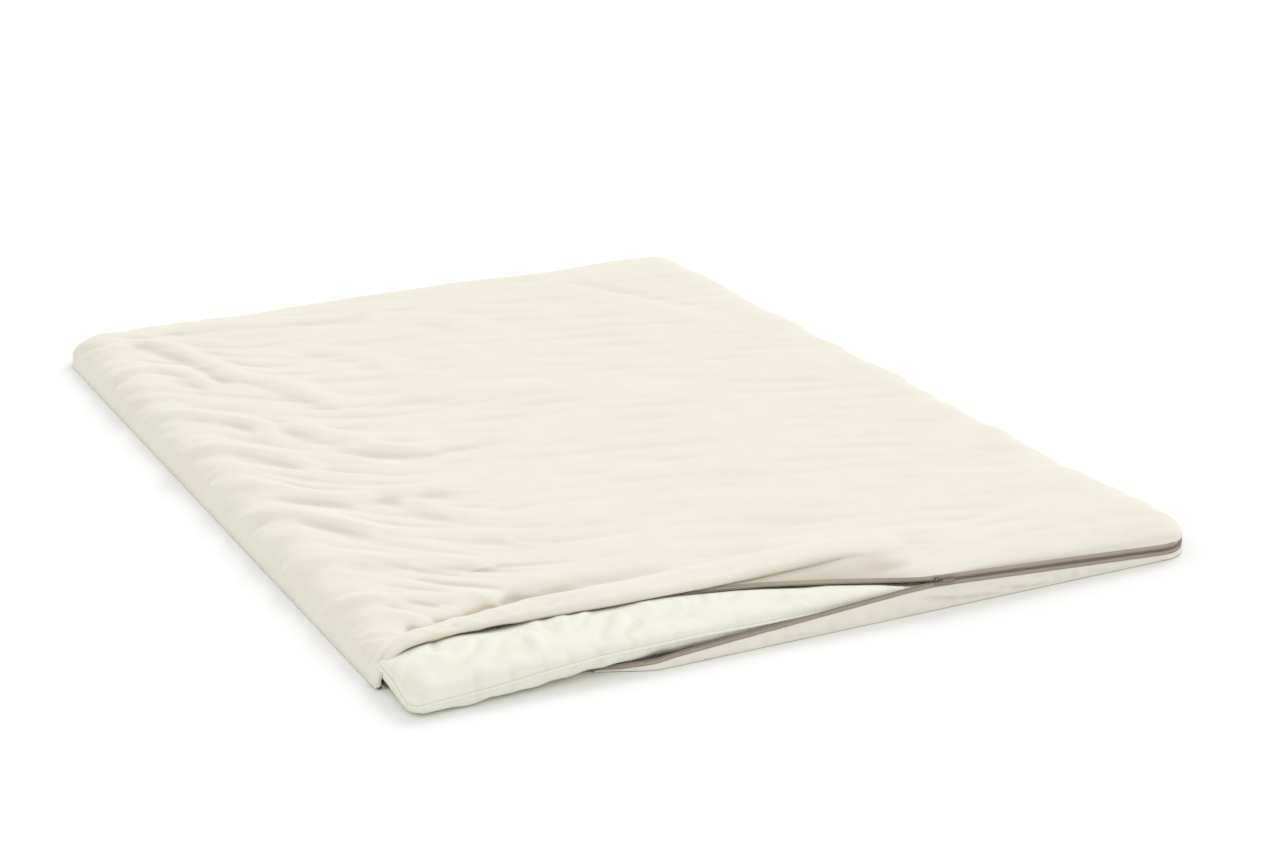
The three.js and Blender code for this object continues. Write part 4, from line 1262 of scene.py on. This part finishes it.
def dress(obj, slot, nodes, body="topper", blend=None):
    """Gives a piece the material named by slot and hides the nodes that it stands for; it is hung on its
    body, or, given a blend, only baked where it stands.
    """
    obj.data.materials.clear()
    obj.data.materials.append(LOOKS[slot])
    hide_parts(*nodes)
    if blend is None:
        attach(obj, body)
    else:
        first, second, start, reach = blend
        start + reach
        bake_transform(obj)


def dress_zip(tape, teeth, nodes, blend=None):
    dress(tape, "zip_tape", [f"zip_{half}_tape{part}" for half, part in nodes], blend=blend)
    dress(teeth, "zip_coil", [f"zip_{half}_coil{part}" for half, part in nodes], blend=blend)


# ---- build -------------------------------------------------------------------------------------
LEFT_BLEND = ("topper", "upper_lip", LIP_LEFT, 0.16)
RIGHT_BLEND = ("topper", "upper_lip", LIP_RIGHT, -0.18)
BAND_BLEND = ("lower_lip", "topper", -0.10, 0.22)

top, lip_left, lip_right = make_top()
dress(top, "cover_cloth", ["cover_top_panel"])
dress(lip_left, "cover_cloth", ["cover_upper_lip"], blend=LEFT_BLEND)
dress(lip_right, "cover_cloth", ["cover_upper_lip"], blend=RIGHT_BLEND)
dress(make_band(), "cover_cloth", ["cover_lower_band", "cover_lower_lip"], blend=BAND_BLEND)
bottom = make_bottom()
dress(bottom, "cover_cloth", ["cover_bottom_panel"])
dress(make_edge_seam(), "cover_cloth", ["cover_edge_seam"])

dress_zip(*make_lower_zip(), [("lower", ""), ("lower", "_lip")], BAND_BLEND)
dress_zip(*make_upper_zip(), [("upper", "")])
for name, low, high, blend in (("lip_left", -0.673, LIP_MIDDLE, LEFT_BLEND),
                               ("lip_right", LIP_MIDDLE, SLIDER_X, RIGHT_BLEND)):
    dress_zip(*make_open_upper(name, low, high), [("upper", "_lip"), ("upper", "_rise")], blend)
dress_zip(*make_floor_tape(), [("lower", "_floor")])

for node, name, body, width in (
        ("zip_slider_body", "slider", "slider", 0.22 * MM),
        ("zip_pull_tab", "pull_tab", "pull_tab", 0.25 * MM),
        ("zip_start_stop", "start_stop", "topper", 0.2 * MM),
        ("zip_end_stop", "end_stop", "topper", 0.3 * MM)):
    dress(bevelled_copy(node, name, width), "zip_metal", [node], body)

pad, piping = make_pad()
dress(pad, "ticking", ["pad_ticking_upper", "pad_ticking_lower", "pad_wadding_upper", "pad_core",
                       "pad_wadding_lower"])
dress(piping, "ticking", ["pad_edge_piping"])


# ---- stage, light and camera -------------------------------------------------------------------
def make_floor():
    bpy.ops.mesh.primitive_plane_add(size=40, location=(0, 6, -0.2 * MM))
    floor = bpy.context.object
    floor.name = "floor"
    material = Material("floor_white", (0.97, 0.97, 0.97), 0.9)
    drift = material.noise(material.place(), 0.6, 2.0)
    material.feed("Roughness", drift * 0.1 + 0.85)
    floor.data.materials.append(material.material)


def area_light(name, place, target, size, power, color=(1, 1, 1)):
    data = bpy.data.lights.new(name, "AREA")
    data.shape = "RECTANGLE"
    data.size, data.size_y = size
    data.energy = power
    data.color = color
    lamp = bpy.data.objects.new(name, data)
    lamp.location = place
    way = Vector(target) - Vector(place)
    lamp.rotation_euler = way.to_track_quat("-Z", "Y").to_euler()
    bpy.context.scene.collection.objects.link(lamp)


def make_lights():
    world = bpy.data.worlds.new("studio")
    world.use_nodes = True
    world.node_tree.nodes["Background"].inputs[0].default_value = (1.0, 1.0, 1.0, 1)
    world.node_tree.nodes["Background"].inputs[1].default_value = 0.85
    bpy.context.scene.world = world
    sun = bpy.data.lights.new("key", "SUN")
    sun.energy = 0.95
    sun.angle = math.radians(30)
    lamp = bpy.data.objects.new("key", sun)
    lamp.rotation_euler = Vector((-2.6, -1.9, -2.7)).to_track_quat("-Z", "Y").to_euler()
    bpy.context.scene.collection.objects.link(lamp)
    area_light("front", (-1.6, -4.6, 2.6), (0, -0.4, 0), (3.0, 1.6), 3)


def make_camera():
    yaw, pitch, roll = 0.4502, 0.3351, -0.0131
    forward = Vector((math.sin(yaw) * math.cos(pitch), math.cos(yaw) * math.cos(pitch), -math.sin(pitch)))
    right = Vector((math.cos(yaw), -math.sin(yaw), 0))
    up = right.cross(forward)
    turned_right = math.cos(roll) * right + math.sin(roll) * up
    turned_up = -math.sin(roll) * right + math.cos(roll) * up
    data = bpy.data.cameras.new("camera")
    data.sensor_width = 36
    data.lens = 73.6
    data.clip_end = 100
    camera = bpy.data.objects.new("camera", data)
    turn = Matrix((turned_right, turned_up, -forward)).transposed()
    camera.matrix_world = Matrix.Translation((-1.833, -4.0585, 1.592)) @ turn.to_4x4()
    bpy.context.scene.collection.objects.link(camera)
    bpy.context.scene.camera = camera


make_floor()
make_lights()
make_camera()
bpy.context.scene.view_settings.view_transform = "Standard"
